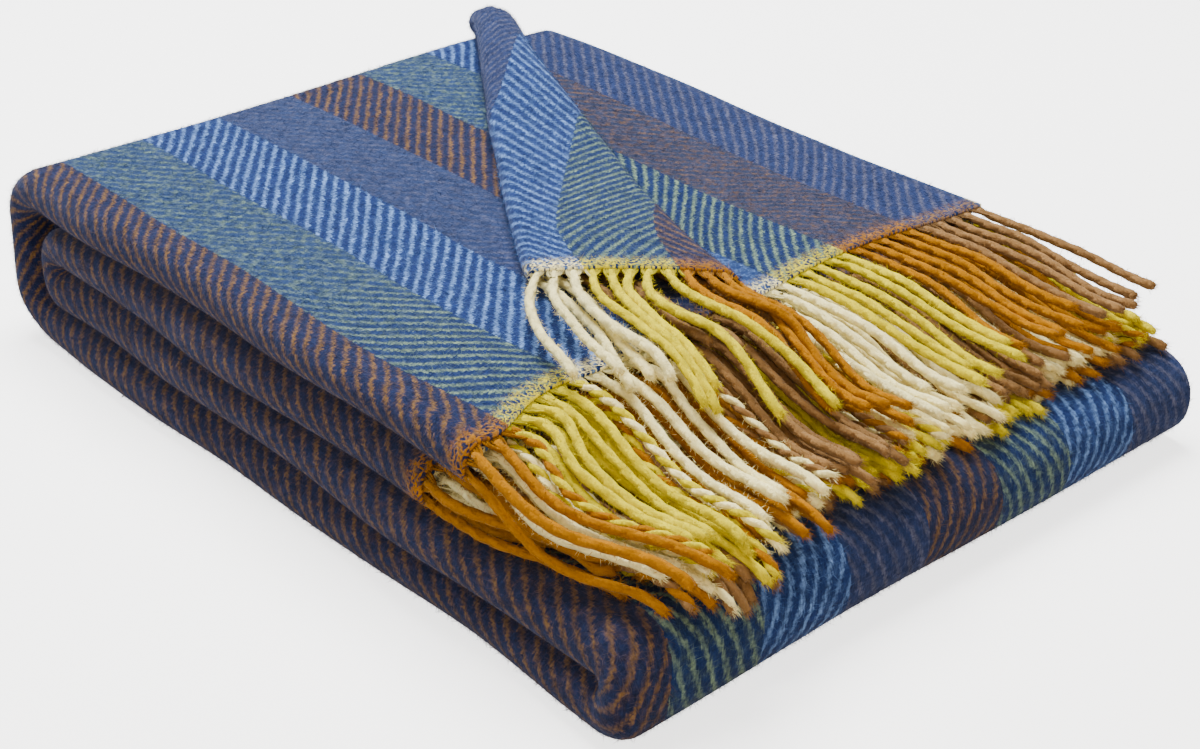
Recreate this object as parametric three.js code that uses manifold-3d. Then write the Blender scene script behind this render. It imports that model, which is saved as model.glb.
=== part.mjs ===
import * as THREE from "three";
import Module from "manifold-3d";

// A wool throw, folded in four across its width and then into four runs along its length.
// Sizes are in millimetres. X runs along the runs, Y from the folded side to the back, Z up.

// Cloth
const CLOTH = 3.0;
const LAYER = 5.4;
const RUN = 4 * LAYER;
const FIRST_Z = 1.5 * LAYER + CLOTH / 2;

// Section across the width
const FOLD_Y = 10;
const TURN_Y = 321;
const BACK_Y = 328;
const SECTION = [
  { piece: "face", kind: "run", from: BACK_Y, to: FOLD_Y, level: 1.5, points: 4 },
  { piece: "outer", kind: "turn", at: FOLD_Y, level: 0, radius: 1.5, start: 90, sweep: 180, points: 9 },
  { piece: "base", kind: "run", from: FOLD_Y, to: TURN_Y, level: -1.5, points: 2 },
  { piece: "hinge", kind: "turn", at: TURN_Y, level: -1, radius: 0.5, start: -90, sweep: 180, points: 5 },
  { piece: "lower", kind: "run", from: TURN_Y, to: FOLD_Y, level: -0.5, points: 2 },
  { piece: "inner", kind: "turn", at: FOLD_Y, level: 0, radius: 0.5, start: 270, sweep: -180, points: 5 },
  { piece: "upper", kind: "run", from: FOLD_Y, to: BACK_Y, level: 0.5, points: 4 },
];

// Back-and-forth path along the length, from the top fringed end to the lower one
const START_X = 367;
const NOSE_X = 24.5;
const RIGHT_X = 438.6;
const INNER_X = 46;
const END_X = 338;
const NOSE_R = 22;
const HEEL_R = 24;
const SLANT = 24;
const rad = THREE.MathUtils.degToRad;
const noseDrop = NOSE_R * (1 - Math.cos(rad(90 + SLANT)));
const heelDrop = HEEL_R * (1 - Math.cos(rad(90 - SLANT)));
const shinLength = (3 * RUN - noseDrop - heelDrop) / Math.cos(rad(SLANT));
const heelX =
  NOSE_X -
  NOSE_R * Math.sin(rad(90 + SLANT)) +
  shinLength * Math.sin(rad(SLANT)) +
  HEEL_R * Math.sin(rad(90 - SLANT));
const PATH = [
  { part: "first run", length: START_X - NOSE_X, turn: 0, rows: 0 },
  { part: "nose", radius: NOSE_R, turn: 90 + SLANT, rows: 6 },
  { part: "shin", length: shinLength, turn: 0, rows: 2 },
  { part: "heel", radius: HEEL_R, turn: 90 - SLANT, rows: 4 },
  { part: "fourth run", length: RIGHT_X - heelX, turn: 0, rows: 5 },
  { part: "front wrap", radius: RUN / 2, turn: 180, rows: 9 },
  { part: "third run", length: RIGHT_X - INNER_X, turn: 0, rows: 5 },
  { part: "inner wrap", radius: RUN / 2, turn: -180, rows: 8 },
  { part: "second run", length: END_X - INNER_X, turn: 0, rows: 5 },
];

// Corner of the top layer, folded back along a diagonal; one row per place along the fold
const FLAP = [
  { x: 367, fold: 155, high: 11, wide: 78, tuck: 46, curl: 180 },
  { x: 343, fold: 162, high: 11, wide: 78, tuck: 46, curl: 180 },
  { x: 300, fold: 175, high: 11.5, wide: 68, tuck: 55, curl: 180 },
  { x: 260, fold: 191, high: 12, wide: 61, tuck: 48, curl: 180 },
  { x: 220, fold: 208, high: 12.5, wide: 53, tuck: 40, curl: 178 },
  { x: 182, fold: 224, high: 13.5, wide: 46, tuck: 31, curl: 174 },
  { x: 145, fold: 239, high: 15, wide: 37, tuck: 20, curl: 168 },
  { x: 112, fold: 252, high: 17, wide: 30, tuck: 11, curl: 158 },
  { x: 86, fold: 263, high: 18, wide: 25, tuck: 6, curl: 148 },
  { x: 66, fold: 273, high: 18.5, wide: 22, tuck: 3, curl: 138 },
  { x: 50, fold: 281, high: 18, wide: 20, tuck: 2, curl: 132 },
  { x: 39, fold: 287, high: 16, wide: 18, tuck: 2, curl: 128 },
  { x: 30, fold: 293, high: 12.5, wide: 16, tuck: 1.5, curl: 124 },
  { x: 22, fold: 301, high: 9, wide: 13, tuck: 1.5, curl: 120 },
  { x: 15, fold: 310, high: 6.5, wide: 10, tuck: 1, curl: 116 },
];
const FLAP_SLOPE = 21.5;

// How far each edge is drawn back from the end of the first run, by layer and place across
const DRAWN_BACK = {
  face: [
    { y: 0, back: -5 },
    { y: 18, back: 0 },
    { y: 40, back: 11 },
    { y: 90, back: 13 },
    { y: 165, back: 24 },
  ],
  upper: [
    { y: 10, back: 0 },
    { y: 90, back: 14 },
    { y: 175, back: 27 },
    { y: 220, back: 34 },
    { y: 270, back: 35 },
    { y: 305, back: 31 },
    { y: 328, back: 30 },
  ],
  lower: [
    { y: 25, back: 0 },
    { y: 110, back: 20 },
    { y: 200, back: 26 },
    { y: 328, back: 26 },
  ],
  base: [
    { y: 25, back: 0 },
    { y: 110, back: 20 },
    { y: 200, back: 26 },
    { y: 328, back: 26 },
  ],
  hinge: [
    { y: 200, back: 26 },
    { y: 328, back: 26 },
  ],
};
const EASE_LENGTH = 170;

// Fringe
const STRANDS = 98;
const STRAND_R = 2.35;
const STRAND_SIDES = 3;
const STRAND_STEPS = 5;
const STRAND_LENGTH = 100;
const STRAND_SPREAD = 9;
const EDGE_GAP = 0.5;
const STRIP = 3.2;
const SLOT = 6.3;
const PILE_STEP = 5.3;
const PILE_GAP = 1.2;
const PILE_Z = FIRST_Z + RUN + FIRST_Z + PILE_GAP + STRAND_R;
const DROP_FROM = 366;
const DROP_OVER = 60;
const LEVELS = {
  upper: { flap: 5, tuck: 4, open: 4, face: 3, upper: 3, inner: 3, lower: 2, hinge: 2, base: 2 },
  lower: { base: 1, lower: 1, hinge: 1, inner: 0, upper: 0, open: 0, face: 0 },
};
const TOP_LEVEL = 5;
const OPEN_Y = 165;
const LOOSE_LEAN = 0.4;

const COLOURS = { cloth: 0x33507f, upper: 0xc9962e, lower: 0xc08a3a };

const smooth = (a, b, t) => THREE.MathUtils.smoothstep(t, a, b);

// Straight-line reading of a table by one of its columns.
function read(table, key, at, column) {
  const rising = table[table.length - 1][key] > table[0][key];
  const rows = rising ? table : [...table].reverse();
  if (at <= rows[0][key]) return rows[0][column];
  for (let i = 1; i < rows.length; i++) {
    if (at > rows[i][key]) continue;
    const t = (at - rows[i - 1][key]) / (rows[i][key] - rows[i - 1][key]);
    return THREE.MathUtils.lerp(rows[i - 1][column], rows[i][column], t);
  }
  return rows[rows.length - 1][column];
}

const lengthOf = (p) => (p.radius ? p.radius * rad(Math.abs(p.turn)) : p.length);

// Place, heading and upward side of the path at a length u from its start.
function pathAt(u) {
  let x = START_X;
  let z = FIRST_Z + 3 * RUN;
  let heading = Math.PI;
  let left = u;
  for (let i = 0; i < PATH.length; i++) {
    const p = PATH[i];
    const whole = lengthOf(p);
    const step = i < PATH.length - 1 ? Math.min(left, whole) : left;
    if (p.turn) {
      const r = p.radius * Math.sign(p.turn);
      const next = heading + step / r;
      x += r * (Math.sin(next) - Math.sin(heading));
      z -= r * (Math.cos(next) - Math.cos(heading));
      heading = next;
    } else {
      x += step * Math.cos(heading);
      z += step * Math.sin(heading);
    }
    left -= step;
    if (left <= 0) break;
  }
  return { x, z, nx: Math.sin(heading), nz: -Math.cos(heading) };
}

// Soft unevenness of the whole stack: wavering sides, a fuller back left corner, lower runs that
// lie further out at the folded side, and a square lower front corner.
function settle(p) {
  const near = 1 - smooth(0, 150, p.y);
  const low = 1 - smooth(10, 75, p.z);
  const left = 1 - smooth(40, 260, p.x);
  const back = smooth(50, 310, p.y);
  const waver = 1.5 * Math.sin(p.x / 62 + p.z / 8 + 2.2) + 1.1 * Math.sin(p.x / 27 - p.z / 13 + 1);
  p.z *= 1 + (0.035 + 0.095 * back) * left - 0.03 * back * smooth(230, 400, p.x);
  p.y += waver * (0.4 + 0.6 * near) - 5 * low * near;
  p.x += (1 + 4 * near) * smooth(418, 455, p.x) * (1 - smooth(0, 24, p.z));
  return p;
}

function sectionPoints(piece, count) {
  const points = [];
  for (let i = 0; i < count; i++) {
    const t = i / (count - 1);
    if (piece.kind === "run") {
      points.push({ y: THREE.MathUtils.lerp(piece.from, piece.to, t), n: piece.level * LAYER });
      continue;
    }
    const a = rad(piece.start + piece.sweep * t);
    const r = piece.radius * LAYER;
    points.push({ y: piece.at + r * Math.cos(a), n: piece.level * LAYER + r * Math.sin(a) });
  }
  return points;
}

// One row of the cloth at a length u: every point knows its layer and its place v across the cloth.
function flatRow(u) {
  const row = [];
  let v = 0;
  for (const piece of SECTION) {
    const points = sectionPoints(piece, piece.points);
    points.forEach((q, i) => {
      if (i === 0 && row.length) return;
      const last = row[row.length - 1];
      if (last) v += Math.hypot(q.y - last.y, q.n - last.n);
      row.push({ u, y: q.y, n: q.n, v, layer: piece.piece });
    });
  }
  return row;
}

// The folded-back corner at one row: its profile from the selvedge to the start of the fold.
// w is the way back over the cloth, h the height, p the length of cloth from the fold's start.
function flapProfile(x) {
  const take = (column) => read(FLAP, "x", x, column);
  const high = take("high");
  const tuck = take("tuck");
  const curl = rad(take("curl"));
  const r = Math.max((high - LAYER) / 2, 1.5);
  const bend = high / 2;
  const over = take("wide") - bend - r;
  const points = [];
  for (let i = 0; i <= 6; i++) {
    const a = (Math.PI * i) / 6;
    const layer = i < 4 ? "face" : "flap";
    points.push({ w: -bend * Math.sin(a), h: bend * (1 - Math.cos(a)), p: bend * a, layer });
  }
  points.push({ w: over / 2, h: high + 1, p: Math.PI * bend + over / 2, layer: "flap" });
  const top = Math.PI * bend + over;
  for (let i = 0; i <= 5; i++) {
    const a = (curl * i) / 5;
    const layer = i < 3 ? "flap" : "tuck";
    points.push({ w: over + r * Math.sin(a), h: high - r * (1 - Math.cos(a)), p: top + r * a, layer });
  }
  const last = points[points.length - 1];
  const under = { w: last.w + tuck * Math.cos(curl), h: last.h - tuck * Math.sin(curl) };
  points.push({ ...under, p: last.p + tuck, layer: "tuck" });
  return { points: points.reverse(), start: take("fold") - bend / Math.cos(rad(FLAP_SLOPE)) };
}

function drawnBack(layer, y) {
  const table = DRAWN_BACK[layer];
  return table ? read(table, "y", y, "back") : 0;
}

// A row of the first run, where the corner of the top layer is folded back.
function flapRow(u) {
  const ease = 1 - smooth(0, EASE_LENGTH, u);
  const foldU = u + drawnBack("face", BACK_Y) * ease;
  const { points, start } = flapProfile(START_X - foldU);
  const level = 1.5 * LAYER;
  const width = BACK_Y - start;
  const row = points.map(({ w, h, p, layer }) => {
    const along = -p * Math.tan(rad(FLAP_SLOPE));
    const dx = along * Math.cos(rad(FLAP_SLOPE)) - w * Math.sin(rad(FLAP_SLOPE));
    const dy = -along * Math.sin(rad(FLAP_SLOPE)) - w * Math.cos(rad(FLAP_SLOPE));
    return { u: foldU - dx, y: start + dy, n: level + h, v: width * (1 - p / points[0].p), layer };
  });
  const faces = SECTION[0].points;
  for (let i = 1; i < faces; i++) {
    const y = THREE.MathUtils.lerp(start, FOLD_Y, i / (faces - 1));
    row.push({ u: u + drawnBack("face", y) * ease, y, n: level, v: BACK_Y - y, layer: "face" });
  }
  const rest = flatRow(u).slice(faces);
  for (const p of rest) row.push({ ...p, u: p.u + drawnBack(p.layer, p.y) * ease });
  return row;
}

function allRows() {
  const rows = [];
  const flapEnd = START_X - FLAP[FLAP.length - 1].x;
  for (const { x } of FLAP) rows.push(flapRow(START_X - x));
  let u = 0;
  for (const p of PATH) {
    const whole = lengthOf(p);
    for (let i = 1; i <= p.rows; i++) {
      const at = u + (whole * i) / p.rows;
      if (at > flapEnd + 4) rows.push(flatRow(at));
    }
    u += whole;
  }
  return rows;
}

function place(p) {
  const c = pathAt(p.u);
  return new THREE.Vector3(c.x + p.n * c.nx, p.y, c.z + p.n * c.nz);
}

function stitch(a, b, ids) {
  if (a.length === b.length) {
    for (let k = 0; k + 1 < a.length; k++) {
      ids.push(a[k].id, b[k].id, a[k + 1].id, b[k].id, b[k + 1].id, a[k + 1].id);
    }
    return;
  }
  let i = 0;
  let j = 0;
  while (i + 1 < a.length || j + 1 < b.length) {
    const nextA = i + 1 < a.length ? a[i + 1].v : Infinity;
    const nextB = j + 1 < b.length ? b[j + 1].v : Infinity;
    if (nextA <= nextB) {
      ids.push(a[i].id, b[j].id, a[i + 1].id);
      i++;
    } else {
      ids.push(a[i].id, b[j].id, b[j + 1].id);
      j++;
    }
  }
}

// The cloth's middle surface: its rows, with places and side normals.
function middleSurface() {
  const rows = allRows();
  const places = [];
  const ids = [];
  for (const row of rows) {
    for (const p of row) {
      p.id = places.length;
      p.at = place(p);
      places.push(p.at);
    }
  }
  for (let i = 0; i + 1 < rows.length; i++) stitch(rows[i], rows[i + 1], ids);
  const normals = places.map(() => new THREE.Vector3());
  const ab = new THREE.Vector3();
  const ac = new THREE.Vector3();
  for (let i = 0; i < ids.length; i += 3) {
    ab.subVectors(places[ids[i + 1]], places[ids[i]]);
    ac.subVectors(places[ids[i + 2]], places[ids[i]]);
    const n = new THREE.Vector3().crossVectors(ab, ac).normalize();
    for (let k = 0; k < 3; k++) normals[ids[i + k]].add(n);
  }
  normals.forEach((n) => n.normalize());
  return { rows, places, ids, normals };
}

// A closed solid from a middle surface, half the thickness to each side.
function thicken({ places, ids, normals }) {
  const count = places.length;
  const position = [];
  for (const side of [1, -1]) {
    places.forEach((p, i) => {
      const q = p.clone().addScaledVector(normals[i], (side * CLOTH) / 2);
      position.push(...settle(q).toArray());
    });
  }
  const index = [];
  const open = new Map();
  for (let i = 0; i < ids.length; i += 3) {
    const [a, b, c] = [ids[i], ids[i + 1], ids[i + 2]];
    index.push(a, b, c, a + count, c + count, b + count);
    for (const [p, q] of [[a, b], [b, c], [c, a]]) {
      if (!open.delete(q + "_" + p)) open.set(p + "_" + q, [p, q]);
    }
  }
  for (const [p, q] of open.values()) index.push(p, p + count, q, q, p + count, q + count);
  const geometry = new THREE.BufferGeometry();
  geometry.setAttribute("position", new THREE.Float32BufferAttribute(position, 3));
  geometry.setIndex(index);
  return geometry;
}

// The triangles of a closed surface, turned round where they face inwards.
function facingOut(position, index) {
  const at = (i) => new THREE.Vector3().fromArray(position, 3 * i);
  let volume = 0;
  for (let i = 0; i < index.length; i += 3) {
    volume += at(index[i]).dot(at(index[i + 1]).cross(at(index[i + 2])));
  }
  return volume < 0 ? [...index].reverse() : index;
}

// A closed tube through rings of points, with flat ends.
function tube(rings, sides) {
  const position = rings.flat().flatMap((p) => p.toArray());
  const index = [];
  for (let i = 0; i + 1 < rings.length; i++) {
    for (let k = 0; k < sides; k++) {
      const a = i * sides + k;
      const b = i * sides + ((k + 1) % sides);
      index.push(a, b, a + sides, b, b + sides, a + sides);
    }
  }
  const last = (rings.length - 1) * sides;
  for (let k = 1; k + 1 < sides; k++) {
    index.push(0, k + 1, k, last, last + k, last + k + 1);
  }
  const geometry = new THREE.BufferGeometry();
  geometry.setAttribute("position", new THREE.Float32BufferAttribute(position, 3));
  geometry.setIndex(facingOut(position, index));
  return geometry;
}

const wasm = await Module();
wasm.setup();

function solid(geometry) {
  const vertProperties = new Float32Array(geometry.getAttribute("position").array);
  const triVerts = new Uint32Array(geometry.index.array);
  return new wasm.Manifold(new wasm.Mesh({ numProp: 3, vertProperties, triVerts }));
}

function geometryOf(manifold) {
  const made = manifold.getMesh();
  const geometry = new THREE.BufferGeometry();
  geometry.setAttribute("position", new THREE.Float32BufferAttribute(made.vertProperties, 3));
  geometry.setIndex(Array.from(made.triVerts));
  return geometry;
}

// A cloth edge with its outward ways: the row at the end and the row before it.
function edgeOf(surface, end, before) {
  return end.map((p, k) => {
    const up = surface.normals[p.id];
    const last = end[Math.max(k - 1, 0)].at;
    const next = end[Math.min(k + 1, end.length - 1)].at;
    const out = new THREE.Vector3().subVectors(next, last).cross(up).normalize();
    if (out.dot(p.at) < out.dot(before[k].at)) out.negate();
    return { at: p.at, out, up, v: p.v, layer: p.layer };
  });
}

function edgeAt(edge, v) {
  let k = 1;
  while (k + 1 < edge.length && edge[k].v < v) k++;
  const a = edge[k - 1];
  const b = edge[k];
  const t = (v - a.v) / (b.v - a.v);
  const at = a.at.clone().lerp(b.at, t);
  const out = a.out.clone().lerp(b.out, t).normalize();
  return { at, out, layer: t < 0.5 ? a.layer : b.layer };
}

// The narrow strip that the strands grow from, just off the cloth's edge.
function stripOf(edge) {
  const half = CLOTH / 2;
  const corners = [
    [EDGE_GAP, -half],
    [EDGE_GAP + STRIP, -half],
    [EDGE_GAP + STRIP, half],
    [EDGE_GAP, half],
  ];
  const rings = edge.map((e) =>
    corners.map(([o, u]) => settle(e.at.clone().addScaledVector(e.out, o).addScaledVector(e.up, u))),
  );
  return tube(rings, corners.length);
}

// A level of the pile of strands sinks a little past the front wrap's crown.
function levelZ(level, x, y) {
  const r = FIRST_Z + RUN / 2 + PILE_GAP + 2 * STRAND_R + PILE_STEP * level;
  const past = Math.min(Math.max(x - RIGHT_X, 0), r * 0.8);
  const lift = 1 + 0.55 * smooth(190, 320, y);
  return PILE_Z + PILE_STEP * level * lift - (r - Math.sqrt(r * r - past * past));
}

// Strands of one level lie side by side: their places are pushed apart until none touch.
function slots(roots) {
  const sorted = [...roots].sort((a, b) => a.at.y - b.at.y);
  sorted.forEach((s) => (s.slot = s.at.y));
  for (let pass = 0; pass < 400; pass++) {
    for (let i = 0; i + 1 < sorted.length; i++) {
      const short = SLOT - (sorted[i + 1].slot - sorted[i].slot);
      if (short <= 0) continue;
      sorted[i].slot -= short / 2;
      sorted[i + 1].slot += short / 2;
    }
  }
}

// A strand leaves its root outward, turns to the front and sinks onto the pile.
function strandOf(root, number) {
  const vary = Math.sin(number * 12.9898) * 43758.5453;
  const length = STRAND_LENGTH + STRAND_SPREAD * (2 * (vary - Math.floor(vary)) - 1);
  const step = length / STRAND_STEPS;
  const at = root.at.clone().addScaledVector(root.out, EDGE_GAP + STRIP / 2);
  const start = at.clone();
  const points = [at.clone()];
  for (let i = 1; i <= STRAND_STEPS; i++) {
    const turn = smooth(0, 45, (i - 0.5) * step);
    const way = new THREE.Vector3(root.out.x, root.out.y, 0).normalize();
    way.lerp(new THREE.Vector3(1, -root.lean, 0), turn).normalize();
    at.addScaledVector(way, step * 0.97);
    const side = smooth(0, 38, i * step);
    const p = at.clone();
    p.y = THREE.MathUtils.lerp(at.y, root.slot + (at.y - start.y) * root.loose, side);
    const sink = smooth(DROP_FROM, DROP_FROM + DROP_OVER, p.x);
    p.z = THREE.MathUtils.lerp(start.z, levelZ(root.level, p.x, p.y), sink);
    points.push(p);
  }
  const rings = points.map((p, i) => {
    const a = points[Math.max(i - 1, 0)];
    const b = points[Math.min(i + 1, points.length - 1)];
    const along = new THREE.Vector3().subVectors(b, a).normalize();
    const across = new THREE.Vector3().crossVectors(along, new THREE.Vector3(0, 0, 1)).normalize();
    const up = new THREE.Vector3().crossVectors(across, along);
    const ring = [];
    for (let k = 0; k < STRAND_SIDES; k++) {
      const turn = (2 * Math.PI * k) / STRAND_SIDES + Math.PI / 2;
      const q = p.clone().addScaledVector(across, STRAND_R * Math.cos(turn));
      ring.push(settle(q.addScaledVector(up, STRAND_R * Math.sin(turn))));
    }
    return ring;
  });
  return tube(rings, STRAND_SIDES);
}

function fringeOf(edge, levels) {
  const width = edge[edge.length - 1].v;
  const roots = [];
  for (let j = 0; j < STRANDS; j++) {
    const root = edgeAt(edge, ((j + 0.5) * width) / STRANDS);
    const above = root.at.z > FIRST_Z + 3 * RUN || root.at.z < FIRST_Z + 2 * RUN;
    const outer = levels[above ? "face" : "base"];
    const shown = root.layer === "upper" && root.at.y > OPEN_Y ? "open" : root.layer;
    root.level = root.layer === "outer" ? outer : levels[shown];
    root.loose = root.layer === "flap" || root.layer === "tuck" ? 1 : 0;
    root.lean = root.loose * LOOSE_LEAN * (1 - smooth(100, 150, root.at.y));
    roots.push(root);
  }
  for (let level = 0; level <= TOP_LEVEL; level++) slots(roots.filter((r) => r.level === level));
  const pieces = [solid(stripOf(edge))];
  roots.forEach((root, j) => pieces.push(solid(strandOf(root, j))));
  return geometryOf(wasm.Manifold.union(pieces));
}

function mesh(name, geometry, color, roughness) {
  const material = new THREE.MeshStandardMaterial({ color, roughness, metalness: 0 });
  const made = new THREE.Mesh(geometry, material);
  made.name = name;
  return made;
}

const surface = middleSurface();
const { rows } = surface;
const group = new THREE.Group();
group.add(mesh("throw_cloth", thicken(surface), COLOURS.cloth, 0.95));
const upperEdge = edgeOf(surface, rows[0], rows[1]);
group.add(mesh("fringe_upper", fringeOf(upperEdge, LEVELS.upper), COLOURS.upper, 0.9));
const lowerEdge = edgeOf(surface, rows[rows.length - 1], rows[rows.length - 2]);
group.add(mesh("fringe_lower", fringeOf(lowerEdge, LEVELS.lower), COLOURS.lower, 0.9));

// The frame: the middle of the box on the floor.
const box = new THREE.Box3().setFromObject(group);
const middle = box.getCenter(new THREE.Vector3());
for (const made of group.children) made.geometry.translate(-middle.x, -middle.y, -box.min.z);

export default group;
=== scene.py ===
"""Visual model of a folded wool throw with twisted fringes.

Sizes are in millimetres in the stack's own axes: X along the runs, Y from the folded side to the
back, Z up. Meshes are in metres, in the part's frame.
"""

import logging
import math
from collections.abc import Sequence
from dataclasses import dataclass, field
from enum import Enum

import bpy
import numpy as np
from mathutils import Matrix, Vector
from mathutils.bvhtree import BVHTree


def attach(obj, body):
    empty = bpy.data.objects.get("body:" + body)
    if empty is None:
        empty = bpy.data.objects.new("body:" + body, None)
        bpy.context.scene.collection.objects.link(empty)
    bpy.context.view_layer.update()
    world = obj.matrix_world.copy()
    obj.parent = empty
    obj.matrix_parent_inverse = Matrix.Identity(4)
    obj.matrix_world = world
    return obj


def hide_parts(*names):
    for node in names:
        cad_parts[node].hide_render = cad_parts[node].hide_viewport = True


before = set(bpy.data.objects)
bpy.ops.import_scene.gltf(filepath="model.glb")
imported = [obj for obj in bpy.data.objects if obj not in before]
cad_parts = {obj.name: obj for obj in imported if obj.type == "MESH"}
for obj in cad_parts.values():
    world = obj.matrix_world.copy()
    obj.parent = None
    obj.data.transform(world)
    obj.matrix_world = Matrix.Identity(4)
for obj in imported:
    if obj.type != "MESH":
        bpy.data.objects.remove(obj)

Array = np.ndarray
Socket = bpy.types.NodeSocket
Colour = tuple[float, float, float, float]
Point = tuple[float, float, float]
Span = tuple[float, float]

LOG = logging.getLogger("throw")
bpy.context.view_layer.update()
MM = 0.001
STACK_MIDDLE = np.array([231.833, 161.091, 0.0])
STRIPE_WIDTH = 44.0
SHEET_UV = "sheet"
DYE = "dye"
NAP = "nap"
SHADE = "shade"


def srgb(red: int, green: int, blue: int) -> Colour:
    """A display colour of 0 to 255 a channel as linear light.

    Args:
        red: Red channel.
        green: Green channel.
        blue: Blue channel.

    Returns:
        Linear red, green, blue and an alpha of 1.
    """
    channels = [c / 255.0 for c in (red, green, blue)]
    linear = [c / 12.92 if c <= 0.04045 else ((c + 0.055) / 1.055) ** 2.4 for c in channels]
    return (linear[0], linear[1], linear[2], 1.0)


def smooth(low: float, high: float, at: Array) -> Array:
    """A smooth step from 0 at low to 1 at high."""
    t = np.clip((at - low) / (high - low), 0.0, 1.0)
    return t * t * (3.0 - 2.0 * t)


def blend(a: Array, b: Array, t: Array) -> Array:
    """The point at share t from a to b."""
    return a + (b - a) * t


def unit(vectors: Array) -> Array:
    """Vectors scaled to length 1."""
    return vectors / np.maximum(np.linalg.norm(vectors, axis=-1, keepdims=True), 1e-12)


def curve_through(places: Sequence[float], values: Sequence[float], at: Array) -> Array:
    """Reads a table by a smooth curve through its rows, level outside them.

    Args:
        places: Where each row is, rising or falling.
        values: The row's value.
        at: Where to read.

    Returns:
        The values read.
    """
    order = np.argsort(places)
    x = np.asarray(places, float)[order]
    y = np.asarray(values, float)[order]
    slope = np.gradient(y, x)
    t = np.clip(at, x[0], x[-1])
    k = np.clip(np.searchsorted(x, t, side="right") - 1, 0, len(x) - 2)
    width = x[k + 1] - x[k]
    s = (t - x[k]) / width
    rise = (3.0 - 2.0 * s) * s * s
    start = s * (1.0 - s) ** 2 * width * slope[k]
    end = s * s * (s - 1.0) * width * slope[k + 1]
    return y[k] * (1.0 - rise) + y[k + 1] * rise + start + end


class Layer(Enum):
    """Layers of the folded section, from the top layer's selvedge inwards."""

    TUCK = 0
    FLAP = 1
    FACE = 2
    OUTER = 3
    BASE = 4
    HINGE = 5
    LOWER = 6
    INNER = 7
    UPPER = 8


class Stripe(Enum):
    """Stripes of the cloth in their order from the top layer's selvedge."""

    BLUE = 0
    WHITE = 1
    LIME = 2
    ORANGE = 3


@dataclass(frozen=True)
class StripeColours:
    """Colours of one stripe: between its lines, on them, of its brushed nap and its yarn."""

    ground: Colour
    line: Colour
    fuzz: Colour
    yarn: Colour


STRIPES: dict[Stripe, StripeColours] = {
    Stripe.BLUE: StripeColours(
        srgb(30, 44, 86), srgb(82, 84, 106), srgb(42, 56, 92), srgb(138, 104, 64)
    ),
    Stripe.WHITE: StripeColours(
        srgb(15, 36, 88), srgb(106, 141, 198), srgb(40, 62, 110), srgb(252, 240, 172)
    ),
    Stripe.LIME: StripeColours(
        srgb(12, 33, 82), srgb(116, 139, 112), srgb(38, 60, 98), srgb(216, 200, 6)
    ),
    Stripe.ORANGE: StripeColours(
        srgb(21, 31, 66), srgb(113, 83, 42), srgb(46, 55, 80), srgb(162, 106, 0)
    ),
}


@dataclass(frozen=True)
class WoolFinish:
    """How a wool surface takes light, and how its fibres vary over it."""

    name: str
    sheen: float
    sheen_roughness: float
    sheen_tint: Colour
    fibre_scale: float = 0.0
    fibre_strength: float = 0.0
    bump: float = 0.0
    bump_distance: float = 0.0
    roughness: float = 1.0
    gloss: float = 0.04


CLOTH_FINISH = WoolFinish("wool_cloth", 0.24, 0.5, srgb(180, 190, 225), 1100.0, 1.0, 0.42, 0.0010)
NAP_FINISH = WoolFinish("wool_nap", 0.10, 0.5, srgb(190, 195, 225))
YARN_FINISH = WoolFinish("fringe_yarn", 0.12, 0.4, srgb(240, 235, 225), 900.0, 0.55, 0.7, 0.0007)
FUZZ_FINISH = WoolFinish("fringe_fuzz", 0.12, 0.4, srgb(240, 235, 225), 500.0, 0.3)


@dataclass(frozen=True)
class PathPiece:
    """One straight or turning piece of the path along the throw's length."""

    name: str
    length: float
    turn: float
    step: float


@dataclass(frozen=True)
class Settling:
    """How an even stack settles: wavering sides, a fuller back left corner, a square foot."""

    near_y: Span = (0.0, 150.0)
    back_y: Span = (50.0, 310.0)
    left_x: Span = (40.0, 260.0)
    right_x: Span = (230.0, 400.0)
    low_z: Span = (10.0, 75.0)
    foot_x: Span = (418.0, 455.0)
    foot_z: Span = (0.0, 24.0)
    fuller: float = 0.035
    fuller_back: float = 0.095
    thinner: float = 0.03
    waver: float = 1.5
    waver_along: float = 62.0
    waver_up: float = 8.0
    waver_start: float = 2.2
    shiver: float = 1.1
    shiver_along: float = 27.0
    shiver_up: float = 13.0
    shiver_start: float = 1.0
    still: float = 0.4
    bulge: float = 5.0
    foot: float = 1.0
    near_foot: float = 4.0

    def place(self, points: Array) -> Array:
        """Moves points of the even stack to where the cloth settled.

        Args:
            points: Points of the even stack.

        Returns:
            The same points, settled.
        """
        x, y, z = (points[..., i] for i in range(3))
        near = 1.0 - smooth(*self.near_y, y)
        low = 1.0 - smooth(*self.low_z, z)
        left = 1.0 - smooth(*self.left_x, x)
        back = smooth(*self.back_y, y)
        waver = self.waver * np.sin(x / self.waver_along + z / self.waver_up + self.waver_start)
        shiver = np.sin(x / self.shiver_along - z / self.shiver_up + self.shiver_start)
        waver = waver + self.shiver * shiver
        thicker = (self.fuller + self.fuller_back * back) * left
        new_z = z * (1.0 + thicker - self.thinner * back * smooth(*self.right_x, x))
        new_y = y + waver * (self.still + (1.0 - self.still) * near) - self.bulge * low * near
        square = smooth(*self.foot_x, x) * (1.0 - smooth(*self.foot_z, new_z))
        new_x = x + (self.foot + self.near_foot * near) * square
        return np.stack([new_x, new_y, new_z], axis=-1)


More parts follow.
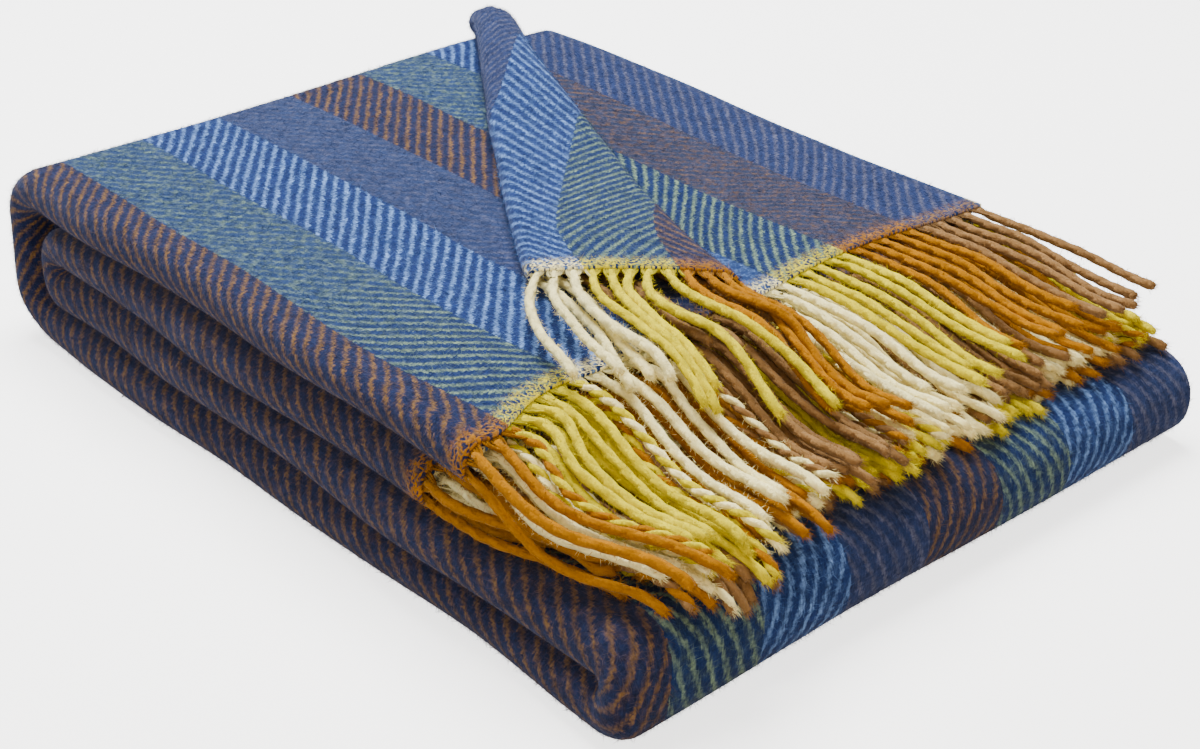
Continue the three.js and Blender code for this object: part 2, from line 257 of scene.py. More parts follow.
@dataclass
class FoldedStack:
    """The stack's shape: a section folded in four, carried along four runs."""

    cloth: float = 3.0
    layer: float = 5.4
    fold_y: float = 10.0
    turn_y: float = 321.0
    back_y: float = 328.0
    start_x: float = 367.0
    nose_x: float = 24.5
    right_x: float = 438.6
    inner_x: float = 46.0
    end_x: float = 338.0
    nose_r: float = 22.0
    heel_r: float = 24.0
    slant: float = 24.0
    settling: Settling = Settling()
    pieces: list[PathPiece] = field(default_factory=list)

    def __post_init__(self) -> None:
        """Works the path out from the stack's sizes."""
        self.run = 4.0 * self.layer
        self.first_z = 1.5 * self.layer + self.cloth / 2.0
        wrap = math.pi * self.run / 2.0
        nose, heel = math.radians(90.0 + self.slant), math.radians(90.0 - self.slant)
        drop = self.nose_r * (1.0 - math.cos(nose)) + self.heel_r * (1.0 - math.cos(heel))
        lean = math.radians(self.slant)
        shin = (3.0 * self.run - drop) / math.cos(lean)
        heel_x = self.nose_x - self.nose_r * math.sin(nose)
        heel_x += shin * math.sin(lean) + self.heel_r * math.sin(heel)
        self.pieces = [
            PathPiece("first run", self.start_x - self.nose_x, 0.0, 4.8),
            PathPiece("nose", self.nose_r * nose, 90.0 + self.slant, 2.6),
            PathPiece("shin", shin, 0.0, 4.0),
            PathPiece("heel", self.heel_r * heel, 90.0 - self.slant, 3.0),
            PathPiece("fourth run", self.right_x - heel_x, 0.0, 7.6),
            PathPiece("front wrap", wrap, 180.0, 2.1),
            PathPiece("third run", self.right_x - self.inner_x, 0.0, 8.6),
            PathPiece("inner wrap", wrap, -180.0, 2.9),
            PathPiece("second run", self.end_x - self.inner_x, 0.0, 8.2),
        ]
        starts, states = [0.0], [(self.start_x, self.first_z + 3.0 * self.run, math.pi)]
        bends = []
        for piece in self.pieces:
            x, z, heading = states[-1]
            turn = math.radians(piece.turn)
            bends.append(turn / piece.length)
            if piece.turn:
                radius = piece.length / turn
                x += radius * (math.sin(heading + turn) - math.sin(heading))
                z -= radius * (math.cos(heading + turn) - math.cos(heading))
            else:
                x += piece.length * math.cos(heading)
                z += piece.length * math.sin(heading)
            states.append((x, z, heading + turn))
            starts.append(starts[-1] + piece.length)
        self.starts = np.array(starts)
        self.states = np.array(states)
        self.bends = np.array(bends)

    def rows(self) -> Array:
        """Places along the length where the sheet has a row.

        Returns:
            Lengths from the path's start.
        """
        places = [np.zeros(1)]
        for start, piece in zip(self.starts, self.pieces):
            count = math.ceil(piece.length / piece.step)
            places.append(start + piece.length * np.arange(1, count + 1) / count)
        return np.concatenate(places)

    def path_at(self, u: Array) -> tuple[Array, Array, Array, Array]:
        """The path at lengths u from its start.

        Args:
            u: Lengths along the path.

        Returns:
            X, Z, and the X and Z of the way to the outer side.
        """
        k = np.clip(np.searchsorted(self.starts, u, side="right") - 1, 0, len(self.bends) - 1)
        left = u - self.starts[k]
        x, z, heading = (self.states[k, i] for i in range(3))
        bend = self.bends[k]
        straight = bend == 0.0
        radius = 1.0 / np.where(straight, 1.0, bend)
        after = heading + bend * left
        round_x = radius * (np.sin(after) - np.sin(heading))
        round_z = -radius * (np.cos(after) - np.cos(heading))
        x = x + np.where(straight, left * np.cos(heading), round_x)
        z = z + np.where(straight, left * np.sin(heading), round_z)
        return x, z, np.sin(after), -np.cos(after)

    def settle(self, points: Array) -> Array:
        """Points of the even stack where the cloth settled."""
        return self.settling.place(points)


@dataclass(frozen=True)
class FlapRow:
    """The folded-back corner at one place along its fold."""

    x: float
    fold: float
    high: float
    wide: float
    tuck: float
    curl: float
    open: float


@dataclass
class CornerFlap:
    """The top layer's corner, folded back along a diagonal and curled under at its edge."""

    slope: float = 21.5
    crown: float = 1.2
    least_curl: float = 1.5
    least_over: float = 0.5
    face_turn: float = 105.0
    columns: tuple[int, int, int, int] = (12, 10, 10, 4)
    fine: int = 6
    table: tuple[FlapRow, ...] = (
        FlapRow(367, 155, 11.0, 78, 46, 180, 1.0),
        FlapRow(343, 162, 11.0, 78, 46, 180, 1.0),
        FlapRow(300, 175, 11.5, 68, 55, 180, 1.0),
        FlapRow(260, 191, 12.0, 61, 48, 180, 1.0),
        FlapRow(220, 208, 12.5, 53, 40, 178, 1.0),
        FlapRow(182, 224, 13.5, 46, 31, 174, 1.0),
        FlapRow(145, 239, 15.0, 37, 20, 168, 1.0),
        FlapRow(112, 252, 17.0, 30, 11, 158, 1.0),
        FlapRow(86, 263, 18.0, 25, 6, 148, 1.0),
        FlapRow(66, 273, 18.5, 22, 3, 138, 1.0),
        FlapRow(50, 281, 18.0, 20, 2, 132, 1.0),
        FlapRow(39, 287, 16.0, 18, 2, 128, 1.0),
        FlapRow(30, 293, 12.5, 16, 1.5, 124, 1.0),
        FlapRow(22, 301, 9.0, 13, 1.5, 120, 1.0),
        FlapRow(15, 310, 6.5, 10, 1.0, 116, 0.96),
        FlapRow(6, 317, 5.6, 8, 1.0, 110, 0.75),
        FlapRow(-4, 321, 5.4, 8, 1.0, 100, 0.35),
        FlapRow(-16, 321, 5.4, 8, 1.0, 100, 0.0),
        FlapRow(-80, 300, 5.4, 20, 4.0, 100, 0.0),
    )

    def read(self, x: Array, column: str) -> Array:
        """Reads a column of the table by a smooth curve."""
        rows = self.table
        return curve_through([r.x for r in rows], [getattr(r, column) for r in rows], x)

    def profile(self, x: Array, stack: FoldedStack) -> dict[str, Array]:
        """The folded corner's section at places along its fold, from its selvedge to its fold.

        Args:
            x: Places along the fold.
            stack: The stack that it lies on.

        Returns:
            Shifts along and across the run, heights, places v, the fold's start and openness.
        """
        high, wide = self.read(x, "high"), self.read(x, "wide")
        opened = np.clip(self.read(x, "open"), 0.0, 1.0)
        bend = high / 2.0
        curl_r = np.maximum((high - stack.layer) / 2.0, self.least_curl)
        curl = np.radians(self.read(x, "curl"))
        start = self.read(x, "fold") - bend / math.cos(math.radians(self.slope))
        width = stack.back_y - start
        over = np.maximum(wide - bend - curl_r, self.least_over)
        lengths = np.stack([math.pi * bend, over, curl_r * curl, self.read(x, "tuck")], axis=1)
        flat = width * math.cos(math.radians(self.slope)) / lengths.sum(axis=1)
        lengths *= blend(flat, np.ones_like(flat), opened)[:, None]
        turns = np.stack([np.full_like(curl, math.pi), 0 * curl, curl, 0 * curl], axis=1)
        turns *= opened[:, None]
        angle, step = [], []
        turned = np.zeros_like(curl)
        for count, length, turn in zip(self.columns, lengths.T, turns.T):
            parts = count * self.fine
            t = (np.arange(parts) + 0.5) / parts
            angle.append(turned[:, None] + turn[:, None] * t)
            step.append(np.repeat(length[:, None] / parts, parts, axis=1))
            turned = turned + turn
        angle, step = np.hstack(angle), np.hstack(step)
        pad = ((0, 0), (1, 0))
        back = np.pad(np.cumsum(-np.cos(angle) * step, axis=1), pad)[:, :: self.fine]
        height = np.pad(np.cumsum(np.sin(angle) * step, axis=1), pad)[:, :: self.fine]
        along = np.pad(np.cumsum(step, axis=1), pad)[:, :: self.fine]
        first, second = self.columns[0], self.columns[0] + self.columns[1]
        rise = np.sin(math.pi * np.arange(second - first + 1) / (second - first))
        height[:, first : second + 1] += self.crown * opened[:, None] * rise
        tilt = math.radians(self.slope)
        slid = -along * math.tan(tilt)
        shift_x = slid * math.cos(tilt) - back * math.sin(tilt)
        shift_y = -slid * math.sin(tilt) - back * math.cos(tilt)
        v = width[:, None] * (1.0 - along / along[:, -1:])
        flip = slice(None, None, -1)
        return {
            "dx": shift_x[:, flip],
            "dy": shift_y[:, flip],
            "h": height[:, flip],
            "v": v[:, flip],
            "start": start,
            "open": opened,
        }

    def layers(self) -> list[Layer]:
        """The layer of each column, from the selvedge to the fold's start.

        Returns:
            One layer a column.
        """
        bend, over, curl, tuck = self.columns
        near = round(bend * self.face_turn / 180.0)
        tags = [Layer.FACE] * near + [Layer.FLAP] * (bend - near) + [Layer.FLAP] * over
        tags += [Layer.FLAP] * (curl // 2) + [Layer.TUCK] * (curl - curl // 2)
        tags += [Layer.TUCK] * (tuck + 1)
        return tags[::-1]


@dataclass(frozen=True)
class Crease:
    """A soft ridge, or a trough where its height is negative, on the top run."""

    x: float
    y: float
    angle: float
    length: float
    width: float
    height: float


class NodeSketch:
    """Adds and links nodes in one shader tree."""

    def __init__(self, tree: bpy.types.NodeTree) -> None:
        """Keeps the tree that nodes are added to."""
        self.tree = tree

    def add(self, kind: str, **settings: object) -> bpy.types.Node:
        """Adds a node with its settings.

        Args:
            kind: The node's kind.
            **settings: Its settings, by name.

        Returns:
            The node.
        """
        node = self.tree.nodes.new(kind)
        for key, value in settings.items():
            setattr(node, key, value)
        return node

    def feed(self, socket: Socket, value: object) -> None:
        """Links a socket to another one, or sets its value.

        Args:
            socket: The input to feed.
            value: A socket to link, or a value to set.
        """
        if isinstance(value, bpy.types.NodeSocket):
            self.tree.links.new(value, socket)
        else:
            socket.default_value = value

    def math(self, operation: str, *values: object) -> Socket:
        """A math node on its values.

        Args:
            operation: What the node does.
            *values: Sockets or numbers.

        Returns:
            The result.
        """
        node = self.add("ShaderNodeMath", operation=operation)
        for socket, value in zip(node.inputs, values):
            self.feed(socket, value)
        return node.outputs[0]

    def sum_of(self, *terms: tuple[object, float]) -> Socket:
        """A sum of sockets, each times its number.

        Args:
            *terms: Sockets or numbers, each with the number that it is taken times.

        Returns:
            The sum.
        """
        total: object = 0.0
        for value, times in terms:
            total = self.math("MULTIPLY_ADD", value, times, total)
        return total

    def ease(self, value: object, low: float, high: float) -> Socket:
        """A smooth step of a value from 0 at low to 1 at high.

        Args:
            value: The value.
            low: Where the step starts.
            high: Where it ends.

        Returns:
            The step.
        """
        node = self.add("ShaderNodeMapRange", interpolation_type="SMOOTHSTEP")
        for name, setting in (("Value", value), ("From Min", low), ("From Max", high)):
            self.feed(node.inputs[name], setting)
        return node.outputs[0]

    def mix(self, share: object, a: object, b: object, way: str = "MIX") -> Socket:
        """A mix of two colours.

        Args:
            share: Share of the second colour.
            a: The first colour.
            b: The second colour.
            way: How the two are mixed.

        Returns:
            The mixed colour.
        """
        node = self.add("ShaderNodeMix", data_type="RGBA", blend_type=way)
        for index, value in ((0, share), (6, a), (7, b)):
            self.feed(node.inputs[index], value)
        return node.outputs[2]

    def point(self, x: object, y: object, z: object = 0.0) -> Socket:
        """A vector from its three numbers.

        Args:
            x: First number.
            y: Second number.
            z: Third number.

        Returns:
            The vector.
        """
        node = self.add("ShaderNodeCombineXYZ")
        for socket, value in zip(node.inputs, (x, y, z)):
            self.feed(socket, value)
        return node.outputs[0]

    def noise(self, at: Socket, scale: float, detail: float = 2.0) -> Socket:
        """Noise from 0 to 1 at a place.

        Args:
            at: The place.
            scale: How often the noise changes.
            detail: How fine it gets.

        Returns:
            The noise.
        """
        node = self.add("ShaderNodeTexNoise")
        self.feed(node.inputs["Vector"], at)
        self.feed(node.inputs["Scale"], scale)
        self.feed(node.inputs["Detail"], detail)
        return node.outputs[0]

    def steps(self, value: Socket, colours: Sequence[Colour]) -> Socket:
        """One of several colours, by a value from 0 to 1.

        Args:
            value: The value.
            colours: The colours, in even steps.

        Returns:
            The colour.
        """
        node = self.add("ShaderNodeValToRGB")
        ramp = node.color_ramp
        ramp.interpolation = "CONSTANT"
        while len(ramp.elements) < len(colours):
            ramp.elements.new(1.0)
        for k, colour in enumerate(colours):
            ramp.elements[k].position = k / len(colours)
            ramp.elements[k].color = colour
        self.feed(node.inputs[0], value)
        return node.outputs[0]


@dataclass(frozen=True)
class TwillLook:
    """The brushed herringbone, in stripe widths: its lines, unevenness, nap and end band."""

    lines: float = 5.0
    lean: float = 1.3
    share: float = 0.30
    level: float = 1.3
    soft: float = 0.34
    mottle_scale: float = 30.0
    patch_scale: float = 5.0
    thread_long: float = 9.0
    thread_fine: float = 58.0
    patch_bend: float = 0.08
    mottle_bend: float = 0.05
    edge_bend: float = 0.06
    mottle_rough: float = 1.2
    weave_rough: float = 1.4
    worn: float = 1.6
    worn_least: float = 0.1
    crisp_power: float = 0.35
    crisp_gain: float = 0.66
    crisp_least: float = 0.26
    end_crisp: float = 0.85
    end_over: Span = (5.2, 0.8)
    mottle_tone: float = 1.1
    weave_tone: float = 1.7
    base_tone: float = -0.40
    heather: float = 0.5
    heather_scale: float = 11.0
    heather_over: Span = (0.46, 0.68)
    loop_scale: float = 17.0
    loop_over: Span = (0.11, 0.03)
    band_rough: float = 0.30
    band_over: Span = (0.44, 0.22)
    line_height: float = 0.3
    mottle_height: float = 0.7
    weave_height: float = 0.7


@dataclass
class WoolMaterials:
    """The throw's finishes, and the node groups that they share."""

    end_u: float
    look: TwillLook = TwillLook()
    broad_scale: float = 0.12
    broad_share: float = 0.9
    twill_height: float = 0.7
    fibre_height: float = 0.8
    nap_fuzz: float = 0.45
    ply_threads: float = 4.0
    ply_slant: float = 0.9
    ply_tone: float = 0.05
    ply_height: float = 0.25
    made: dict[str, bpy.types.Material] = field(default_factory=dict)

    @staticmethod
    def new_group(
        name: str, inputs: Sequence[tuple[str, str]], outputs: Sequence[tuple[str, str]]
    ) -> tuple[NodeSketch, bpy.types.Node, bpy.types.Node]:
        """An empty shader group with its sockets.

        Args:
            name: The group's name.
            inputs: Names and kinds of its inputs.
            outputs: Names and kinds of its outputs.

        Returns:
            The sketch of its tree, its input node and its output node.
        """
        tree = bpy.data.node_groups.new(name, "ShaderNodeTree")
        for way, sockets in (("INPUT", inputs), ("OUTPUT", outputs)):
            for socket, kind in sockets:
                tree.interface.new_socket(name=socket, in_out=way, socket_type="NodeSocket" + kind)
        sketch = NodeSketch(tree)
        return sketch, sketch.add("NodeGroupInput"), sketch.add("NodeGroupOutput")

    def build(self) -> None:
        """Makes the shared groups and the four finishes."""
        self.fibres = self.fibre_group()
        self.twill = self.twill_group()
        self.made["cloth"] = self.cloth_material(CLOTH_FINISH)
        self.made["nap"] = self.nap_material(NAP_FINISH)
        self.made["yarn"] = self.yarn_material(YARN_FINISH)
        self.made["fuzz"] = self.fuzz_material(FUZZ_FINISH)

    def fibre_group(self) -> bpy.types.NodeTree:
        """Tangled wool fibres: a tone that varies around 1, and a height.

        Returns:
            The group.
        """
        sketch, entry, leave = self.new_group(
            "wool_fibres",
            [("Vector", "Vector"), ("Scale", "Float"), ("Strength", "Float")],
            [("Tone", "Float"), ("Height", "Float")],
        )
        scaled = sketch.add("ShaderNodeVectorMath", operation="SCALE")
        sketch.feed(scaled.inputs[0], entry.outputs["Vector"])
        sketch.feed(scaled.inputs["Scale"], entry.outputs["Scale"])
        fine = sketch.noise(scaled.outputs[0], 1.0, 3.0)
        broad = sketch.noise(scaled.outputs[0], self.broad_scale, 2.0)
        spread = sketch.sum_of((fine, 1.0), (broad, self.broad_share))
        centred = sketch.math("SUBTRACT", spread, (1.0 + self.broad_share) / 2.0)
        tone = sketch.math("MULTIPLY_ADD", centred, entry.outputs["Strength"], 1.0)
        sketch.feed(leave.inputs["Tone"], tone)
        sketch.feed(leave.inputs["Height"], fine)
        return sketch.tree

    def twill_group(self) -> bpy.types.NodeTree:
        """Herringbone stripes by the sheet's own map, with a speckled band at the fringed ends.

        Returns:
            The group.
        """
        sketch, entry, leave = self.new_group(
            "twill_stripes",
            [("Vector", "Vector"), ("Nap", "Float")],
            [("Color", "Color"), ("Fuzz", "Color"), ("Height", "Float")],
        )
        look, at, nap = self.look, entry.outputs["Vector"], entry.outputs["Nap"]
        apart = sketch.add("ShaderNodeSeparateXYZ")
        sketch.feed(apart.inputs[0], at)
        u, v = apart.outputs[0], apart.outputs[1]
        mottle = sketch.noise(at, look.mottle_scale, 3.0)
        patch = sketch.noise(at, look.patch_scale, 2.0)
        warpwise = self.streaks(sketch, u, v, look.thread_long, look.thread_fine)
        weftwise = self.streaks(sketch, u, v, look.thread_fine, look.thread_long)
        weave = sketch.sum_of((warpwise, 0.5), (weftwise, 0.5))

        # Which stripe a place is in, and which way its lines lean.
        along = sketch.sum_of((u, 1.0), (patch, look.patch_bend), (mottle, look.mottle_bend))
        across = sketch.sum_of((v, 1.0), (mottle, look.edge_bend))
        count = len(Stripe)
        which = sketch.math("FLOORED_MODULO", sketch.math("FLOOR", across), float(count))
        place = sketch.math("MULTIPLY_ADD", which, 1.0 / count, 0.01)
        odd = sketch.math("FLOORED_MODULO", which, 2.0)
        lean = sketch.math("MULTIPLY_ADD", odd, 2.0, -1.0)

        # Slanting lines, broken up by the threads and worn in patches.
        steep = sketch.math("MULTIPLY", v, look.lean)
        phase = sketch.math("MULTIPLY_ADD", steep, lean, along)
        phase = sketch.math("MULTIPLY", phase, look.lines)
        saw = sketch.math("ABSOLUTE", sketch.math("SUBTRACT", sketch.math("FRACT", phase), 0.5))
        ridge = sketch.sum_of((saw, 2.0), (mottle, look.mottle_rough), (weave, look.weave_rough))
        edge = 1.0 - look.share + look.level
        line = sketch.ease(ridge, edge - look.soft, edge + look.soft)
        worn = sketch.sum_of((patch, look.worn), (1.0, look.worn_least))
        line = sketch.math("MULTIPLY", line, worn)

        # How clear the lines are under the nap: by its lay, and clearer near the fringed ends.
        inside = sketch.math("MINIMUM", u, sketch.math("SUBTRACT", self.end_u, u))
        crisp = sketch.math("MULTIPLY_ADD", nap, lean, 1.0)
        crisp = sketch.math("POWER", sketch.math("MULTIPLY", crisp, 0.5), look.crisp_power)
        crisp = sketch.math("MULTIPLY_ADD", crisp, look.crisp_gain, look.crisp_least)
        near = sketch.math("MULTIPLY", sketch.ease(inside, *look.end_over), look.end_crisp)
        near = sketch.math("MULTIPLY", near, sketch.math("MAXIMUM", nap, 0.0))
        crisp = sketch.math("MAXIMUM", crisp, near)

        # Colours of the lines, the nap and the yarn loops at the ends.
        grounds = sketch.steps(place, [STRIPES[s].ground for s in Stripe])
        lines = sketch.steps(place, [STRIPES[s].line for s in Stripe])
        naps = sketch.steps(place, [STRIPES[s].fuzz for s in Stripe])
        yarns = sketch.steps(place, [STRIPES[s].yarn for s in Stripe])
        tone = sketch.sum_of(
            (mottle, look.mottle_tone), (weave, look.weave_tone), (1.0, look.base_tone)
        )
        heather = sketch.ease(sketch.noise(at, look.heather_scale, 4.0), *look.heather_over)
        heather = sketch.math("MULTIPLY", heather, look.heather)
        fuzz = self.toned(sketch, sketch.mix(heather, naps, lines), tone)
        colour = self.toned(sketch, sketch.mix(line, grounds, lines), tone)
        colour = sketch.mix(crisp, fuzz, colour)
        curls = sketch.math("SUBTRACT", sketch.noise(at, look.loop_scale, 1.0), 0.5)
        loops = sketch.ease(sketch.math("ABSOLUTE", curls), *look.loop_over)
        rough = sketch.sum_of((inside, 1.0), (mottle, look.band_rough))
        speckle = sketch.math("MULTIPLY", loops, sketch.ease(rough, *look.band_over))
        colour = sketch.mix(speckle, colour, yarns)
        sketch.feed(leave.inputs["Color"], colour)
        sketch.feed(leave.inputs["Fuzz"], fuzz)
        height = sketch.sum_of(
            (line, look.line_height),
            (mottle, look.mottle_height),
            (weave, look.weave_height),
            (speckle, 1.0),
        )
        sketch.feed(leave.inputs["Height"], height)
        return sketch.tree

    @staticmethod
    def streaks(sketch: NodeSketch, u: Socket, v: Socket, along: float, across: float) -> Socket:
        """Noise drawn out one way of the weave.

        Args:
            sketch: The tree's sketch.
            u: Place along the warp.
            v: Place across it.
            along: How often the noise changes along the warp.
            across: How often it changes across it.

        Returns:
            Noise from 0 to 1.
        """
        place = sketch.point(sketch.math("MULTIPLY", u, along), sketch.math("MULTIPLY", v, across))
        return sketch.noise(place, 1.0, 2.0)

    @staticmethod
    def start(finish: WoolFinish) -> tuple[bpy.types.Material, NodeSketch, bpy.types.Node]:
        """A new wool material.

        Args:
            finish: How it takes light.

        Returns:
            The material, the sketch of its tree and its shader.
        """
        material = bpy.data.materials.new(finish.name)
        material.use_nodes = True
        shader = material.node_tree.nodes["Principled BSDF"]
        shader.inputs["Roughness"].default_value = finish.roughness
        shader.inputs["Sheen Weight"].default_value = finish.sheen
        shader.inputs["Sheen Roughness"].default_value = finish.sheen_roughness
        shader.inputs["Sheen Tint"].default_value = finish.sheen_tint
        shader.inputs["Specular IOR Level"].default_value = finish.gloss
        return material, NodeSketch(material.node_tree), shader

    def fibre_tone(self, sketch: NodeSketch, finish: WoolFinish) -> bpy.types.Node:
        """Places the shared fibre group with a finish's own values.

        Args:
            sketch: The tree's sketch.
            finish: The finish that it is for.

        Returns:
            The placed group.
        """
        node = sketch.add("ShaderNodeGroup", node_tree=self.fibres)
        sketch.feed(node.inputs["Vector"], sketch.add("ShaderNodeTexCoord").outputs["Object"])
        sketch.feed(node.inputs["Scale"], finish.fibre_scale)
        sketch.feed(node.inputs["Strength"], finish.fibre_strength)
        return node

    @staticmethod
    def toned(sketch: NodeSketch, colour: Socket, tone: Socket) -> Socket:
        """A colour times a tone."""
        grey = sketch.point(tone, tone, tone)
        return sketch.mix(1.0, colour, grey, "MULTIPLY")

    def sheet_colour(self, sketch: NodeSketch) -> bpy.types.Node:
        """Places the stripes group on the sheet's own map.

        Args:
            sketch: The tree's sketch.

        Returns:
            The placed group.
        """
        place = sketch.add("ShaderNodeUVMap", uv_map=SHEET_UV)
        nap = sketch.add("ShaderNodeAttribute", attribute_name=NAP)
        node = sketch.add("ShaderNodeGroup", node_tree=self.twill)
        sketch.feed(node.inputs["Vector"], place.outputs[0])
        sketch.feed(node.inputs["Nap"], nap.outputs["Fac"])
        return node

    def relief(
        self, sketch: NodeSketch, shader: bpy.types.Node, height: Socket, finish: WoolFinish
    ) -> None:
        """Bumps a shader's normal by a height.

        Args:
            sketch: The tree's sketch.
            shader: The shader.
            height: The height.
            finish: How strong the relief is.
        """
        bump = sketch.add("ShaderNodeBump")
        sketch.feed(bump.inputs["Strength"], finish.bump)
        sketch.feed(bump.inputs["Distance"], finish.bump_distance)
        sketch.feed(bump.inputs["Height"], height)
        sketch.feed(shader.inputs["Normal"], bump.outputs[0])

    def cloth_material(self, finish: WoolFinish) -> bpy.types.Material:
        """Brushed twill: herringbone stripes under tangled fibres.

        Args:
            finish: How it takes light.

        Returns:
            The material.
        """
        material, sketch, shader = self.start(finish)
        twill = self.sheet_colour(sketch)
        fibres = self.fibre_tone(sketch, finish)
        colour = self.toned(sketch, twill.outputs["Color"], fibres.outputs["Tone"])
        sketch.feed(shader.inputs["Base Color"], colour)
        height = sketch.sum_of(
            (twill.outputs["Height"], self.twill_height),
            (fibres.outputs["Height"], self.fibre_height),
        )
        self.relief(sketch, shader, height, finish)
        return material

    def nap_material(self, finish: WoolFinish) -> bpy.types.Material:
        """Loose fibres of the brushed face, each in the colour at its root.

        Args:
            finish: How it takes light.

        Returns:
            The material.
        """
        material, sketch, shader = self.start(finish)
        twill = self.sheet_colour(sketch)
        shade = sketch.add("ShaderNodeAttribute", attribute_name=SHADE)
        colour = sketch.mix(self.nap_fuzz, twill.outputs["Color"], twill.outputs["Fuzz"])
        colour = self.toned(sketch, colour, shade.outputs["Fac"])
        sketch.feed(shader.inputs["Base Color"], colour)
        return material

    def yarn_material(self, finish: WoolFinish) -> bpy.types.Material:
        """Soft twisted yarn with fibres that wind along each ply.

        Args:
            finish: How it takes light.

        Returns:
            The material.
        """
        material, sketch, shader = self.start(finish)
        dye = sketch.add("ShaderNodeAttribute", attribute_name=DYE)
        apart = sketch.add("ShaderNodeSeparateXYZ")
        sketch.feed(apart.inputs[0], sketch.add("ShaderNodeUVMap", uv_map=SHEET_UV).outputs[0])
        fibres = self.fibre_tone(sketch, finish)
        winding = sketch.sum_of(
            (apart.outputs[1], self.ply_threads), (apart.outputs[0], self.ply_slant)
        )
        winding = sketch.math("ADD", winding, fibres.outputs["Height"])
        strand = sketch.math("SINE", sketch.math("MULTIPLY", winding, 2.0 * math.pi))
        tone = sketch.math("MULTIPLY_ADD", strand, self.ply_tone, fibres.outputs["Tone"])
        sketch.feed(shader.inputs["Base Color"], self.toned(sketch, dye.outputs["Color"], tone))
        height = sketch.sum_of((strand, self.ply_height), (fibres.outputs["Height"], 1.0))
        self.relief(sketch, shader, height, finish)
        return material

    def fuzz_material(self, finish: WoolFinish) -> bpy.types.Material:
        """Loose fibres that stand off the fringe yarn.

        Args:
            finish: How it takes light.

        Returns:
            The material.
        """
        material, sketch, shader = self.start(finish)
        dye = sketch.add("ShaderNodeAttribute", attribute_name=DYE)
        fibres = self.fibre_tone(sketch, finish)
        colour = self.toned(sketch, dye.outputs["Color"], fibres.outputs["Tone"])
        sketch.feed(shader.inputs["Base Color"], colour)
        return material


def make_piece(
    name: str, points: Array, faces: Array, material: bpy.types.Material, uv: Array | None = None
) -> bpy.types.Object:
    """A mesh object from points in the stack's axes.

    Args:
        name: The piece's name.
        points: Points in millimetres.
        faces: Corners of each face.
        material: Its finish.
        uv: A place on the sheet for each point.

    Returns:
        The object, at the origin.
    """
    mesh = bpy.data.meshes.new(name)
    placed = (points - STACK_MIDDLE) * MM
    mesh.from_pydata(placed.tolist(), [], faces.tolist())
    if uv is not None:
        corners = np.empty(len(mesh.loops), dtype=np.int32)
        mesh.loops.foreach_get("vertex_index", corners)
        layer = mesh.uv_layers.new(name=SHEET_UV)
        layer.data.foreach_set("uv", uv[corners].astype(np.float32).ravel())
    mesh.polygons.foreach_set("use_smooth", np.ones(len(mesh.polygons), dtype=bool))
    mesh.materials.append(material)
    mesh.update()
    piece = bpy.data.objects.new(name, mesh)
    bpy.context.scene.collection.objects.link(piece)
    return piece


def give_numbers(piece: bpy.types.Object, name: str, values: Array) -> None:
    """Stores one number for each point of a piece."""
    store = piece.data.attributes.new(name, "FLOAT", "POINT")
    store.data.foreach_set("value", values.astype(np.float32).ravel())


def give_colours(piece: bpy.types.Object, name: str, colours: Array) -> None:
    """Stores one colour for each point of a piece."""
    store = piece.data.color_attributes.new(name, "FLOAT_COLOR", "POINT")
    store.data.foreach_set("color", colours.astype(np.float32).ravel())


